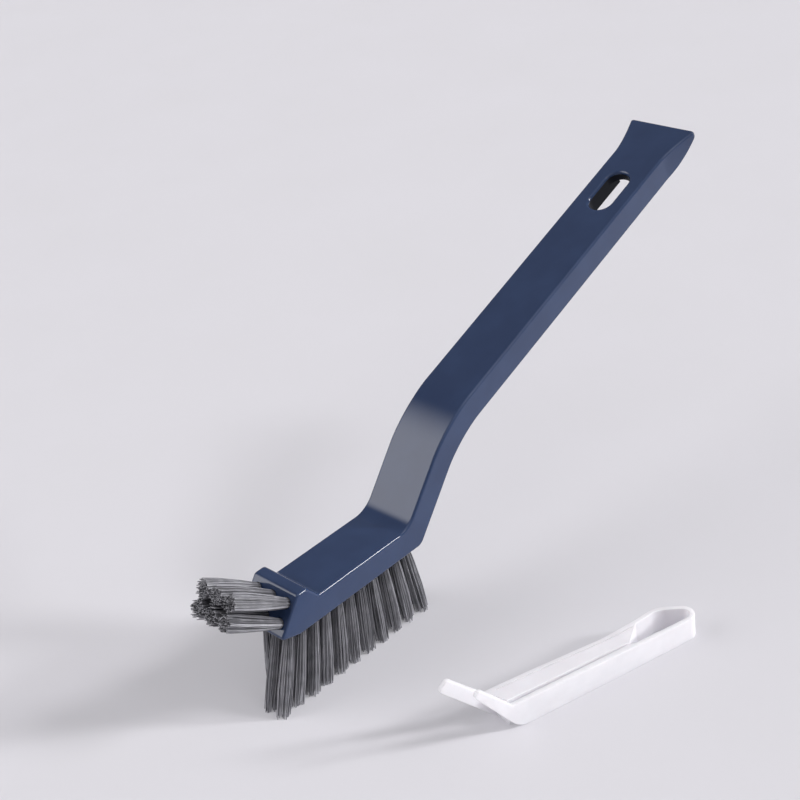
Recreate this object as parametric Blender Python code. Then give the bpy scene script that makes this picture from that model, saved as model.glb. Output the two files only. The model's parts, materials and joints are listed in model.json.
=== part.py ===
"""Crevice brush with its spring clip, modelled in metres with +Z up.

The handle is one moulding: a solid head that carries the bristle tufts, a neck, a grip that is
hollow underneath, and a flared tail with a hanging slot. Each tuft is a piece of its own, set in
its own hole. The clip is a bent strip with a spring loop, two arms and two raised tips, and it
lies beside the brush.

Side points are (along, up): along runs from the bristle nose to the tail, up is the height above
the floor that the bristles stand on. The near side of the brush is -Y.
"""
import math

import bmesh
import bpy
from mathutils import Matrix, Vector

MM = 0.001
X_AXIS, Y_AXIS, Z_AXIS = Vector((1, 0, 0)), Vector((0, 1, 0)), Vector((0, 0, 1))

# Handle: lengths along its top line, and the two bends of that line
HEAD_LENGTH = 45.9 * MM
NECK_LENGTH = 41.7 * MM
GRIP_LENGTH = 166.3 * MM
NECK_RISE = math.radians(50.2)
GRIP_RISE = math.radians(20.5)
LOW_BEND_RADIUS = 6 * MM
LOW_HEEL_RADIUS = 4 * MM
HIGH_BEND_RADIUS = 56 * MM
HIGH_HOLLOW_RADIUS = 45 * MM

# Handle: sections
HANDLE_WIDTH = 23.2 * MM
HEAD_DEPTH = 10.6 * MM
NECK_DEPTH = 11.1 * MM
GRIP_DEPTH = 11.4 * MM
EDGE_ROUND = 1.1 * MM
EDGE_STEPS = 2
BEND_STEPS = 6

# Collar and slanted nose at the front of the head
COLLAR_HEIGHT = 5.8 * MM
COLLAR_LENGTH = 6.0 * MM
COLLAR_SLOPE = 4.5 * MM
COLLAR_BEVEL = 1.3 * MM
NOSE_LENGTH = 9.1 * MM
NOSE_RISE = 3.2 * MM
NOSE_SLOPE = 7.6 * MM

# Flared tail
TAIL_WIDTH = 32 * MM
TAIL_FLARE = 19.3 * MM
TAIL_LIP = 2.6 * MM
TAIL_CORNER = 2.6 * MM
TAIL_STEPS = 7

# Hanging slot, through the grip near the tail, with a boss below it
SLOT_FROM_END = 40.7 * MM
SLOT_LENGTH = 21.8 * MM
SLOT_WIDTH = 10.4 * MM
SLOT_RIM = 1.2 * MM
SLOT_STEPS = 7
BOSS_WALL = 1.6 * MM
BOSS_DEPTH = 8 * MM

# Hollow underneath the neck and the grip
SIDE_WALL = 1.7 * MM
TOP_WALL = 1.9 * MM
HOLLOW_FROM_BEND = 12 * MM
HOLLOW_FROM_TAIL = 20.6 * MM
HOLLOW_CORNER = 1 * MM

# Bristles below the head
BRISTLE_HEIGHT = 32.3 * MM
ROW_TUFTS = 11
ROW_GAP = 5.6 * MM
ROW_TIP_GAP = 6.3 * MM
FIRST_ROOT = -11.9 * MM
LAST_ROOT = 47 * MM
FIRST_TIP = -22.6 * MM
FAR_FIRST_TIP = -14.8 * MM
LAST_TIP = 51 * MM

# Bristles on the nose: two layers of three tufts
NOSE_TUFTS = 3
NOSE_TUFT_GAP = 7.6 * MM
NOSE_TIP_GAP = 7.3 * MM
NOSE_LAYER_GAP = 7.6 * MM
NOSE_LAYER_RISE = 0.9 * MM
NOSE_TIP_LAYER_GAP = 7.1 * MM
NOSE_BRISTLE_LENGTH = 28.4 * MM
NOSE_BRISTLE_RISE = math.radians(33.5)

# One tuft and its hole
ROOT_RADIUS = 1.85 * MM
ROOT_CLEARANCE = 0.3 * MM
ROOT_LENGTH = 2.9 * MM
STRAND_INSET_SHARE = 0.3
TIP_RADIUS = 2.9 * MM
HOLE_SIDES = 10

# Clip: its place on the floor, measured at the near arm's bend
CLIP_ALONG = 24.6 * MM
CLIP_SIDE = -80.2 * MM
CLIP_TURN = math.radians(-16.5)

# Clip: its strip
CLIP_THICKNESS = 1.8 * MM
CLIP_WIDTH = 12.1 * MM
CLIP_LOOP_HEIGHT = 9.5 * MM
CLIP_BEND_HEIGHT = 11.2 * MM
CLIP_ARM_LENGTH = 76.9 * MM

# Clip: its skewed spring loop, which runs from the end of the near arm round a crown and a
# shoulder to the waist of the far arm, and how much of its walls the bends take up
CLIP_CROWN_AHEAD = 0.7 * MM
CLIP_CROWN_SIDE = 6.6 * MM
CLIP_SHOULDER_BACK = 10.4 * MM
CLIP_SHOULDER_BULGE = 1.2 * MM
CLIP_WAIST_BACK = 9.2 * MM
CLIP_WAIST_LENGTH = 2 * MM
CLIP_END_BEND_SHARE = 0.54
CLIP_CROWN_BEND_SHARE = 0.37
CLIP_SHOULDER_BEND_SHARE = 0.3
CLIP_SPLIT_GAP = 0.3 * MM
CLIP_LOOP_STEPS = 5

# Clip: the pads inside its arms and the slit between them
CLIP_NEAR_PAD_STEP = 2 * MM
CLIP_FAR_PAD_STEP = 8 * MM
CLIP_NEAR_PAD = 0.5 * MM
CLIP_SLIT_START = 0.8 * MM
CLIP_SLIT_END = 1.4 * MM

# Clip: its raised tips
CLIP_NEAR_END = 2.6 * MM
CLIP_NEAR_BEND = -1.8 * MM
CLIP_NEAR_BEND_RADIUS = 8 * MM
CLIP_NEAR_RISE = math.radians(54)
CLIP_NEAR_TIP_LENGTH = 28 * MM
CLIP_NEAR_TIP_DEPTH = 5 * MM
CLIP_NEAR_TIP_NARROW = 1.8 * MM
CLIP_FAR_END = -4 * MM
CLIP_FAR_BEND = -5.5 * MM
CLIP_FAR_BEND_RADIUS = 3 * MM
CLIP_FAR_RISE = math.radians(47.2)
CLIP_FAR_TIP_LENGTH = 30 * MM
CLIP_FAR_TIP_DEPTH = 5.6 * MM
CLIP_FAR_TIP_NARROW = 0.4 * MM
CLIP_TIP_CUT = 1.2 * MM
CLIP_BROW_SHARE = 2
CLIP_BEND_STEPS = 4

# How far a cutter runs past the face that it cuts
OVERRUN = 1 * MM

HEAD_TOP = BRISTLE_HEIGHT + HEAD_DEPTH


def clear_scene():
    """Remove every object that the file holds."""
    for thing in list(bpy.data.objects):
        bpy.data.objects.remove(thing, do_unlink=True)


def material(name, colour, roughness, specular):
    """Make a plastic with one Principled BSDF."""
    made = bpy.data.materials.new(name)
    made.use_nodes = True
    shader = made.node_tree.nodes["Principled BSDF"]
    shader.inputs["Base Color"].default_value = (*colour, 1)
    shader.inputs["Roughness"].default_value = roughness
    shader.inputs["Metallic"].default_value = 0
    shader.inputs["Specular IOR Level"].default_value = specular
    return made


def empty(name, place=(0, 0, 0), turn=0, parent=None):
    """Make an empty that carries sub-parts."""
    made = bpy.data.objects.new(name, None)
    made.location = place
    made.rotation_euler = (0, 0, turn)
    made.parent = parent
    bpy.context.collection.objects.link(made)
    return made


def add_object(name, mesh, finish, parent, smooth_angle=30):
    """Link a mesh as a named sub-part under its parent."""
    made = bpy.data.objects.new(name, mesh)
    made.parent = parent
    bpy.context.collection.objects.link(made)
    if finish is None:
        made.hide_render = True
        made.display_type = "WIRE"
        return made
    mesh.materials.append(finish)
    mesh.shade_smooth()
    mesh.set_sharp_from_angle(angle=math.radians(smooth_angle))
    return made


def finish_mesh(name, shape):
    """Turn a bmesh into a mesh whose faces point outwards."""
    bmesh.ops.recalc_face_normals(shape, faces=shape.faces)
    mesh = bpy.data.meshes.new(name)
    shape.to_mesh(mesh)
    shape.free()
    return mesh


def cut(target, tool, operation="DIFFERENCE"):
    """Add an exact Boolean modifier."""
    step = target.modifiers.new(tool.name, "BOOLEAN")
    step.operation = operation
    step.solver = "EXACT"
    step.object = tool


def loft(name, sections):
    """Skin a list of rings of equal count, and cap both ends."""
    shape = bmesh.new()
    rings = [[shape.verts.new(point) for point in ring] for ring in sections]
    for ring, following in zip(rings, rings[1:]):
        for i in range(len(ring)):
            j = (i + 1) % len(ring)
            shape.faces.new((ring[i], ring[j], following[j], following[i]))
    shape.faces.new(rings[0])
    shape.faces.new(reversed(rings[-1]))
    return finish_mesh(name, shape)


def arc_between(corner, direction_in, direction_out, radius, steps):
    """Points of the arc that rounds a corner of a line in the side plane."""
    turn = direction_in.angle_signed(direction_out)
    reach = radius * math.tan(abs(turn) / 2)
    start = corner - direction_in * reach
    side = Vector((direction_in.y, -direction_in.x)) * math.copysign(radius, turn)
    centre = start + side
    return [centre + Matrix.Rotation(-turn * i / steps, 2) @ (start - centre) for i in range(steps + 1)]


def rise(angle):
    """Unit direction in the side plane, at an angle above the level."""
    return Vector((math.cos(angle), math.sin(angle)))


def below(angle):
    """Unit direction square to a line at this angle, pointing out of the underside."""
    return Vector((math.sin(angle), -math.cos(angle)))


def crossing(point, angle, other_point, other_angle):
    """Where two lines of the side plane meet."""
    direction, other = rise(angle), rise(other_angle)
    gap = other_point - point
    share = (gap.x * other.y - gap.y * other.x) / (direction.x * other.y - direction.y * other.x)
    return point + direction * share


LOW_CORNER = Vector((HEAD_LENGTH, HEAD_TOP))
HIGH_CORNER = LOW_CORNER + rise(NECK_RISE) * NECK_LENGTH
TAIL_END = HIGH_CORNER + rise(GRIP_RISE) * GRIP_LENGTH
COLLAR_BACK = -COLLAR_SLOPE
COLLAR_FRONT = COLLAR_BACK - COLLAR_LENGTH
NOSE_TIP = Vector((COLLAR_FRONT - NOSE_LENGTH, HEAD_TOP - HEAD_DEPTH + NOSE_RISE))
NOSE_BROW = Vector((COLLAR_FRONT, HEAD_TOP + COLLAR_HEIGHT - COLLAR_BEVEL))


def on_grip(along, down=0):
    """Point of the side plane, measured back from the tail end along the grip's top."""
    return TAIL_END - rise(GRIP_RISE) * along + below(GRIP_RISE) * down


def underside_corners():
    """The two corners of the underside, below the two bends."""
    head_line = Vector((0, HEAD_TOP - HEAD_DEPTH))
    neck_line = LOW_CORNER + below(NECK_RISE) * NECK_DEPTH
    grip_line = HIGH_CORNER + below(GRIP_RISE) * GRIP_DEPTH
    heel = crossing(head_line, 0, neck_line, NECK_RISE)
    hollow = crossing(neck_line, NECK_RISE, grip_line, GRIP_RISE)
    return heel, hollow


def tail_stations():
    """Top, underside and half width along the flared tail, which thins to a lip."""
    stations = []
    for i in range(TAIL_STEPS + 1):
        share = i / TAIL_STEPS
        flare = share ** 1.5
        depth = TAIL_LIP + (GRIP_DEPTH - TAIL_LIP) * (1 - share ** 2.2)
        half = HANDLE_WIDTH / 2 + (TAIL_WIDTH - HANDLE_WIDTH) / 2 * flare
        stations.append((TAIL_FLARE * (1 - share), depth, half))
    corner = TAIL_CORNER / 2
    stations[-1] = (corner * 2 / 3, TAIL_LIP, TAIL_WIDTH / 2 - corner / 4)
    stations.append((0, TAIL_LIP - EDGE_ROUND, TAIL_WIDTH / 2 - TAIL_CORNER * 3 / 4))
    return [(on_grip(along), on_grip(along, depth), half) for along, depth, half in stations]


def handle_stations():
    """Top point, underside point and half width of each section of the handle."""
    half = HANDLE_WIDTH / 2
    head_under = HEAD_TOP - HEAD_DEPTH
    heel, hollow = underside_corners()
    level, neck, grip = rise(0), rise(NECK_RISE), rise(GRIP_RISE)
    top = [
        NOSE_BROW,
        Vector((COLLAR_FRONT + COLLAR_BEVEL, HEAD_TOP + COLLAR_HEIGHT)),
        Vector((COLLAR_BACK - EDGE_ROUND, HEAD_TOP + COLLAR_HEIGHT)),
        Vector((COLLAR_BACK, HEAD_TOP + COLLAR_HEIGHT - EDGE_ROUND / 2)),
        Vector((-EDGE_ROUND / 2, HEAD_TOP + EDGE_ROUND / 3)),
        Vector((EDGE_ROUND, HEAD_TOP)),
    ]
    under = [
        NOSE_TIP,
        NOSE_TIP + Vector((EDGE_ROUND, -EDGE_ROUND)),
        Vector((NOSE_TIP.x + NOSE_SLOPE, head_under + EDGE_ROUND / 6)),
        Vector((NOSE_TIP.x + NOSE_SLOPE + EDGE_ROUND, head_under)),
        Vector((COLLAR_BACK, head_under)),
        Vector((EDGE_ROUND, head_under)),
    ]
    top += arc_between(LOW_CORNER, level, neck, LOW_BEND_RADIUS, BEND_STEPS)
    under += arc_between(heel, level, neck, LOW_HEEL_RADIUS, BEND_STEPS)
    top += arc_between(HIGH_CORNER, neck, grip, HIGH_BEND_RADIUS, BEND_STEPS)
    under += arc_between(hollow, neck, grip, HIGH_HOLLOW_RADIUS, BEND_STEPS)
    return [(t, u, half) for t, u in zip(top, under)] + tail_stations()


def section(top, under, half, radius):
    """A rectangle with round corners, across the handle between two side points."""
    height = (top - under).length
    up = (top - under) / height
    ring = []
    corners = ((1, 1), (-1, 1), (-1, -1), (1, -1))
    for turn, (side, end) in enumerate(corners):
        across = side * (half - radius)
        middle = height / 2 + end * (height / 2 - radius)
        for step in range(EDGE_STEPS + 1):
            angle = math.pi / 2 * (turn + step / EDGE_STEPS)
            y = across + radius * math.cos(angle)
            point = under + up * (middle + radius * math.sin(angle))
            ring.append((point.x, y, point.y))
    return ring


def racetrack(along, half_length, half_width, down):
    """A ring with round ends, across the grip at a depth below its top."""
    ring = []
    for end in (1, -1):
        for i in range(SLOT_STEPS + 1):
            angle = math.pi * (i / SLOT_STEPS - 0.5)
            run = end * (half_length - half_width + half_width * math.cos(angle))
            point = on_grip(along - run, down)
            ring.append((point.x, end * half_width * math.sin(angle), point.y))
    return ring


def slot_cutter(parent):
    """The through slot, with a round rim at the top face."""
    half_length, half_width = SLOT_LENGTH / 2, SLOT_WIDTH / 2
    rim = [(-OVERRUN, SLOT_RIM), (0, SLOT_RIM)]
    rim += [(SLOT_RIM * (1 - math.cos(angle)), SLOT_RIM * (1 - math.sin(angle)))
            for angle in (math.pi / 6, math.pi / 3, math.pi / 2)]
    rim.append((GRIP_DEPTH + OVERRUN, 0))
    rings = [racetrack(SLOT_FROM_END, half_length + wider, half_width + wider, down)
             for down, wider in rim]
    return add_object("slot_cutter", loft("slot_cutter", rings), None, parent)


def boss_tool(parent):
    """The solid that the slot's boss keeps out of the hollow."""
    half_length, half_width = SLOT_LENGTH / 2 + BOSS_WALL, SLOT_WIDTH / 2 + BOSS_WALL
    rings = [racetrack(SLOT_FROM_END, half_length, half_width, down)
             for down in (TOP_WALL - OVERRUN, BOSS_DEPTH)]
    return add_object("boss_tool", loft("boss_tool", rings), None, parent)


def hollow_cutter(parent):
    """The hollow under the neck and the grip, open below, without the slot's boss."""
    heel, hollow = underside_corners()
    half = HANDLE_WIDTH / 2 - SIDE_WALL
    neck, grip = rise(NECK_RISE), rise(GRIP_RISE)
    inner_top = crossing(LOW_CORNER + below(NECK_RISE) * TOP_WALL, NECK_RISE,
                         HIGH_CORNER + below(GRIP_RISE) * TOP_WALL, GRIP_RISE)
    outer = crossing(LOW_CORNER + below(NECK_RISE) * (NECK_DEPTH + OVERRUN), NECK_RISE,
                     HIGH_CORNER + below(GRIP_RISE) * (GRIP_DEPTH + OVERRUN), GRIP_RISE)
    start = LOW_CORNER + neck * HOLLOW_FROM_BEND
    top = [start + below(NECK_RISE) * TOP_WALL]
    under = [start + below(NECK_RISE) * (NECK_DEPTH + OVERRUN)]
    top += arc_between(inner_top, neck, grip, HIGH_BEND_RADIUS - TOP_WALL, BEND_STEPS)
    under += arc_between(outer, neck, grip, HIGH_HOLLOW_RADIUS - OVERRUN, BEND_STEPS)
    top.append(on_grip(HOLLOW_FROM_TAIL, TOP_WALL))
    under.append(on_grip(HOLLOW_FROM_TAIL, GRIP_DEPTH + OVERRUN))
    rings = [section(t, u, half, HOLLOW_CORNER) for t, u in zip(top, under)]
    made = add_object("hollow_cutter", loft("hollow_cutter", rings), None, parent)
    cut(made, boss_tool(parent))
    return made


def tuft_frame(root, direction):
    """Matrix at a tuft's root, with Z out along the bristles and X along the head."""
    z = direction.normalized()
    x = Y_AXIS.cross(z).normalized()
    y = z.cross(x)
    return Matrix.Translation(root) @ Matrix((x, y, z)).transposed().to_4x4()


def head_tufts():
    """Name, root and tip centre of each tuft below the head: the far row fans out less."""
    tufts = []
    for row, side, first_tip in (("near", -1, FIRST_TIP), ("middle", 0, FIRST_TIP),
                                 ("far", 1, FAR_FIRST_TIP)):
        for i in range(ROW_TUFTS):
            share = i / (ROW_TUFTS - 1)
            root = Vector((FIRST_ROOT + (LAST_ROOT - FIRST_ROOT) * share,
                           side * ROW_GAP, HEAD_TOP - HEAD_DEPTH))
            tip = Vector((first_tip + (LAST_TIP - first_tip) * share, side * ROW_TIP_GAP, 0))
            tufts.append((f"{row}_tuft_{i + 1:02d}", root, tip))
    return tufts


def nose_face():
    """Middle of the two layers of tufts on the slanted nose, and the way up its face."""
    up = (NOSE_BROW - NOSE_TIP).normalized()
    middle = (NOSE_BROW + NOSE_TIP) / 2 + up * NOSE_LAYER_RISE
    return Vector((middle.x, 0, middle.y)), Vector((up.x, 0, up.y))


def nose_tufts():
    """Name, root and tip centre of each tuft on the nose, in two layers."""
    middle, up = nose_face()
    out = Vector((-math.cos(NOSE_BRISTLE_RISE), 0, math.sin(NOSE_BRISTLE_RISE)))
    tip_up = Vector((math.sin(NOSE_BRISTLE_RISE), 0, math.cos(NOSE_BRISTLE_RISE)))
    tufts = []
    for layer, end in (("upper", 0.5), ("lower", -0.5)):
        for i in range(NOSE_TUFTS):
            side = i - (NOSE_TUFTS - 1) / 2
            root = middle + up * NOSE_LAYER_GAP * end + Y_AXIS * NOSE_TUFT_GAP * side
            tip = (middle + out * NOSE_BRISTLE_LENGTH + tip_up * NOSE_TIP_LAYER_GAP * end
                   + Y_AXIS * NOSE_TIP_GAP * side)
            tufts.append((f"nose_{layer}_tuft_{i + 1}", root, tip))
    return tufts


def hole_cutter(parent):
    """All the blind tuft holes of the head and the nose, as one cutter."""
    shape = bmesh.new()
    radius = (ROOT_RADIUS + ROOT_CLEARANCE) / math.cos(math.pi / HOLE_SIDES)
    depth = ROOT_LENGTH + ROOT_CLEARANCE * 2
    for _, root, tip in head_tufts() + nose_tufts():
        frame = tuft_frame(root, tip - root)
        place = frame @ Matrix.Translation(Z_AXIS * (OVERRUN - (depth + OVERRUN) / 2))
        bmesh.ops.create_cone(shape, cap_ends=True, segments=HOLE_SIDES, radius1=radius,
                              radius2=radius, depth=depth + OVERRUN, matrix=place)
    return add_object("hole_cutter", finish_mesh("hole_cutter", shape), None, parent)


def build_handle(parent, finish):
    """The handle: one outer loft, less its hollow, its slot and its tuft holes."""
    rings = [section(top, under, half, min(EDGE_ROUND, (top - under).length / 3))
             for top, under, half in handle_stations()]
    handle = add_object("handle", loft("handle", rings), finish, parent)
    cut(handle, hollow_cutter(parent))
    cut(handle, slot_cutter(parent))
    cut(handle, hole_cutter(parent))
    return handle


def hexagon_points():
    """Points of the triangle lattice that fills a hexagon of two steps a side."""
    step = ROOT_RADIUS / 2
    return {(a, b): Vector((step * (a + b / 2), step * b * math.sqrt(3) / 2, -ROOT_CLEARANCE))
            for a in range(-2, 3) for b in range(-2, 3) if abs(a + b) <= 2}


def strand_end(heel, length, floor_normal):
    """Where a strand that starts at its heel meets the plane that its tuft is cut to."""
    spread = TIP_RADIUS / ROOT_RADIUS
    run = Vector((heel.x * spread, heel.y * spread, length)) - heel
    share = (Z_AXIS * length - heel).dot(floor_normal) / run.dot(floor_normal)
    return heel + run * share


def build_tuft(name, root, tip, flat, parent, finish):
    """One tuft: a root plug for its hole, with strands that fan out to their cut ends.

    A strand stands on every upward triangle of the plug's face. The ends lie on the floor where
    flat is set, and otherwise square to the tuft.
    """
    frame = tuft_frame(root, tip - root)
    length = (tip - root).length
    floor_normal = frame.inverted().to_3x3() @ Z_AXIS if flat else Z_AXIS
    shape = bmesh.new()
    places = hexagon_points()
    face = {key: shape.verts.new(place) for key, place in places.items()}
    rim = [(2, 0), (1, 1), (0, 2), (-1, 2), (-2, 2), (-2, 1),
           (-2, 0), (-1, -1), (0, -2), (1, -2), (2, -2), (2, -1)]
    base = [shape.verts.new(places[key] - Z_AXIS * ROOT_LENGTH) for key in rim]
    for i, key in enumerate(rim):
        j = (i + 1) % len(rim)
        shape.faces.new((face[key], base[i], base[j], face[rim[j]]))
    shape.faces.new(reversed(base))
    for a, b in places:
        down = [(a, b), (a + 1, b - 1), (a + 1, b)]
        if all(key in places for key in down):
            shape.faces.new([face[key] for key in down])
        up = [(a, b), (a + 1, b), (a, b + 1)]
        if not all(key in places for key in up):
            continue
        middle = sum((places[key] for key in up), Vector()) / 3
        heels = [places[key].lerp(middle, STRAND_INSET_SHARE) for key in up]
        rings = [[face[key] for key in up],
                 [shape.verts.new(heel) for heel in heels],
                 [shape.verts.new(strand_end(heel, length, floor_normal)) for heel in heels]]
        for ring, following in zip(rings, rings[1:]):
            for i in range(3):
                j = (i + 1) % 3
                shape.faces.new((ring[i], ring[j], following[j], following[i]))
        shape.faces.new(rings[-1])
    shape.transform(frame)
    return add_object(name, finish_mesh(name, shape), finish, parent)


def build_tufts(parent, finish):
    """Every tuft of the brush."""
    for name, root, tip in head_tufts():
        build_tuft(name, root, tip, True, parent, finish)
    for name, root, tip in nose_tufts():
        build_tuft(name, root, tip, False, parent, finish)


def arm_height(along):
    """Height of the clip's arms, which fall off towards the loop."""
    return CLIP_BEND_HEIGHT + (CLIP_LOOP_HEIGHT - CLIP_BEND_HEIGHT) * along / CLIP_ARM_LENGTH


def upright(outer, inner):
    """An upright ring of the clip's strip, from its outer and inner plan points."""
    return [(outer.x, outer.y, 0), (inner.x, inner.y, 0),
            (inner.x, inner.y, arm_height(inner.x)), (outer.x, outer.y, arm_height(outer.x))]


def bend_rings(corner, direction_in, direction_out, reach):
    """Rings of the strip round an outer corner of its plan, which starts to bend at its reach."""
    half_turn = direction_in.angle(direction_out) / 2
    radius = reach / math.tan(half_turn)
    centre = corner + (direction_out - direction_in).normalized() * (radius / math.cos(half_turn))
    thin_share = 1 - CLIP_THICKNESS / radius
    return [upright(point, centre + (point - centre) * thin_share)
            for point in arc_between(corner, direction_in, direction_out, radius,
                                     CLIP_LOOP_STEPS)]


def loop_plan():
    """Outer corners of the loop's plan, from the near arm to the far arm's waist."""
    end = Vector((CLIP_ARM_LENGTH, 0))
    crown = end + Vector((CLIP_CROWN_AHEAD, CLIP_CROWN_SIDE))
    shoulder = Vector((crown.x - CLIP_SHOULDER_BACK, CLIP_WIDTH + CLIP_SHOULDER_BULGE))
    waist = Vector((shoulder.x - CLIP_WAIST_BACK, CLIP_WIDTH))
    return [Vector((0, 0)), end, crown, shoulder, waist]


def pad_start():
    """Where the thick pads start, in front of the far arm's waist."""
    return loop_plan()[-1].x - CLIP_WAIST_LENGTH - CLIP_FAR_PAD_STEP


def loop_rings():
    """Rings round the near corner, and round the crown and the shoulder."""
    plan = loop_plan()
    walls = [after - before for before, after in zip(plan, plan[1:])]
    ways = [wall.normalized() for wall in walls]
    reaches = (walls[1].length * CLIP_END_BEND_SHARE, walls[1].length * CLIP_CROWN_BEND_SHARE,
               walls[2].length * CLIP_SHOULDER_BEND_SHARE)
    rings = [bend_rings(plan[i + 1], ways[i], ways[i + 1], reaches[i]) for i in range(3)]
    return rings[0], rings[1] + rings[2]


def split_place():
    """Where the loop's end wall is split: its middle point and the direction along it."""
    near, far = loop_rings()
    corners = [Vector(point) for ring in (near[-1], far[0]) for point in ring[:2]]
    way = (corners[2] - corners[0]).normalized()
    return sum(corners, Vector((0, 0, 0))) / len(corners), way


def at_split(side):
    """The ring of the strip on one side of the split in the loop's end wall."""
    middle, way = split_place()
    spot = middle + way * CLIP_SPLIT_GAP / 2 * side
    out = Vector((way.y, -way.x, 0)) * CLIP_THICKNESS / 2
    return upright(spot + out, spot - out)


def tip_rings(outer, inner, end, bend, radius, angle, length, depth, narrow):
    """Rings of an arm's raised tip, from its bend to its end."""
    way = Vector((-math.cos(angle), math.sin(angle)))
    up = Vector((math.sin(angle), math.cos(angle)))
    corner = Vector((bend, 0))
    reach = radius * math.tan(angle / 2)
    climb = (arm_height(bend) - up.y * depth) / way.y
    brow = corner + up * depth + way * climb
    shoulder = Vector((end, arm_height(end)))
    pairs = []
    for i in range(1, CLIP_BEND_STEPS + 1):
        share = i / CLIP_BEND_STEPS
        lean = angle * share
        low = corner + Vector((reach - radius * math.sin(lean), radius * (1 - math.cos(lean))))
        pairs.append((low, shoulder.lerp(brow, (share + CLIP_BROW_SHARE) / (1 + CLIP_BROW_SHARE))))
    straight = length - CLIP_TIP_CUT
    for run in (straight / 2, straight, length):
        low = corner + way * max(run, reach)
        high = brow + way * (run - climb) - up * narrow * (run / length)
        if run <= climb:
            high = brow + way * CLIP_TIP_CUT
        if run == length:
            low = low + up * CLIP_TIP_CUT
            high = high - up * CLIP_TIP_CUT
        pairs.append((low, high))
    return [[(low.x, outer, low.y), (low.x, inner, low.y),
             (high.x, inner, high.y), (high.x, outer, high.y)] for low, high in pairs]


def near_arm_rings():
    """Rings of the near arm, from the split in the loop to the end of its tip."""
    thin = CLIP_THICKNESS
    pad = CLIP_THICKNESS + CLIP_NEAR_PAD
    corner = loop_rings()[0]
    rings = [at_split(-1)] + list(reversed(corner))
    for along, inner in ((pad_start() + CLIP_NEAR_PAD_STEP, thin), (pad_start(), pad),
                         (CLIP_NEAR_END, pad)):
        rings.append(upright(Vector((along, 0)), Vector((along, inner))))
    return rings + tip_rings(0, thin, CLIP_NEAR_END, CLIP_NEAR_BEND, CLIP_NEAR_BEND_RADIUS,
                             CLIP_NEAR_RISE, CLIP_NEAR_TIP_LENGTH, CLIP_NEAR_TIP_DEPTH,
                             CLIP_NEAR_TIP_NARROW)


def far_arm_rings():
    """Rings of the far arm, from the split in the loop to the end of its tip."""
    thin = CLIP_WIDTH - CLIP_THICKNESS
    slit = CLIP_THICKNESS + CLIP_NEAR_PAD
    rings = [at_split(1)] + loop_rings()[1]
    for along, inner in ((pad_start() + CLIP_FAR_PAD_STEP, thin),
                         (pad_start(), slit + CLIP_SLIT_START),
                         (CLIP_FAR_END, slit + CLIP_SLIT_END)):
        rings.append(upright(Vector((along, CLIP_WIDTH)), Vector((along, inner))))
    return rings + tip_rings(CLIP_WIDTH, thin, CLIP_FAR_END, CLIP_FAR_BEND,
                             CLIP_FAR_BEND_RADIUS, CLIP_FAR_RISE, CLIP_FAR_TIP_LENGTH,
                             CLIP_FAR_TIP_DEPTH, CLIP_FAR_TIP_NARROW)


def build_clip(parent, finish):
    """The clip: the near arm with one side of the loop, and the far arm on its spring pivot."""
    pivot = split_place()[0]
    pivot.z = 0
    add_object("clip_near_arm", loft("clip_near_arm", near_arm_rings()), finish, parent)
    hinge = empty("clip_pivot", pivot, 0, parent)
    far_arm = add_object("clip_far_arm", loft("clip_far_arm", far_arm_rings()), finish, hinge)
    far_arm.data.transform(Matrix.Translation(-pivot))
    return hinge


def stand_over_middle(carriers):
    """Move the carriers so that the origin lies under the middle of the whole set."""
    bpy.context.view_layer.update()
    corners = [thing.matrix_world @ vert.co for thing in bpy.data.objects
               if thing.type == "MESH" and not thing.hide_render for vert in thing.data.vertices]
    for axis in range(2):
        places = [corner[axis] for corner in corners]
        middle = (min(places) + max(places)) / 2
        for carrier in carriers:
            carrier.location[axis] -= middle
    bpy.context.view_layer.update()


def main():
    """Build the brush and its clip."""
    clear_scene()
    navy = material("navy_plastic", (0.025, 0.038, 0.096), 0.22, 0.5)
    grey = material("grey_filament", (0.19, 0.19, 0.205), 0.55, 0.4)
    white = material("white_plastic", (0.82, 0.82, 0.85), 0.3, 0.5)
    brush = empty("brush")
    clip = empty("clip", (CLIP_ALONG, CLIP_SIDE, 0), CLIP_TURN)
    build_handle(brush, navy)
    build_tufts(brush, grey)
    build_clip(clip, white)
    stand_over_middle((brush, clip))


main()
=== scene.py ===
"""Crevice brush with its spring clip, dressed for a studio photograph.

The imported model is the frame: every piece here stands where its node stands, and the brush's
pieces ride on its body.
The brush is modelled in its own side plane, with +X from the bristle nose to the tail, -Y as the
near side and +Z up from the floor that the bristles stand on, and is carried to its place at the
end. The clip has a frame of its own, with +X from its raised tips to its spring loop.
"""
from __future__ import annotations

import json
import logging
import math
import random
from dataclasses import dataclass, field
from enum import Enum
from typing import Callable, Sequence

import bmesh
import bpy
from mathutils import Matrix, Vector


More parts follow.
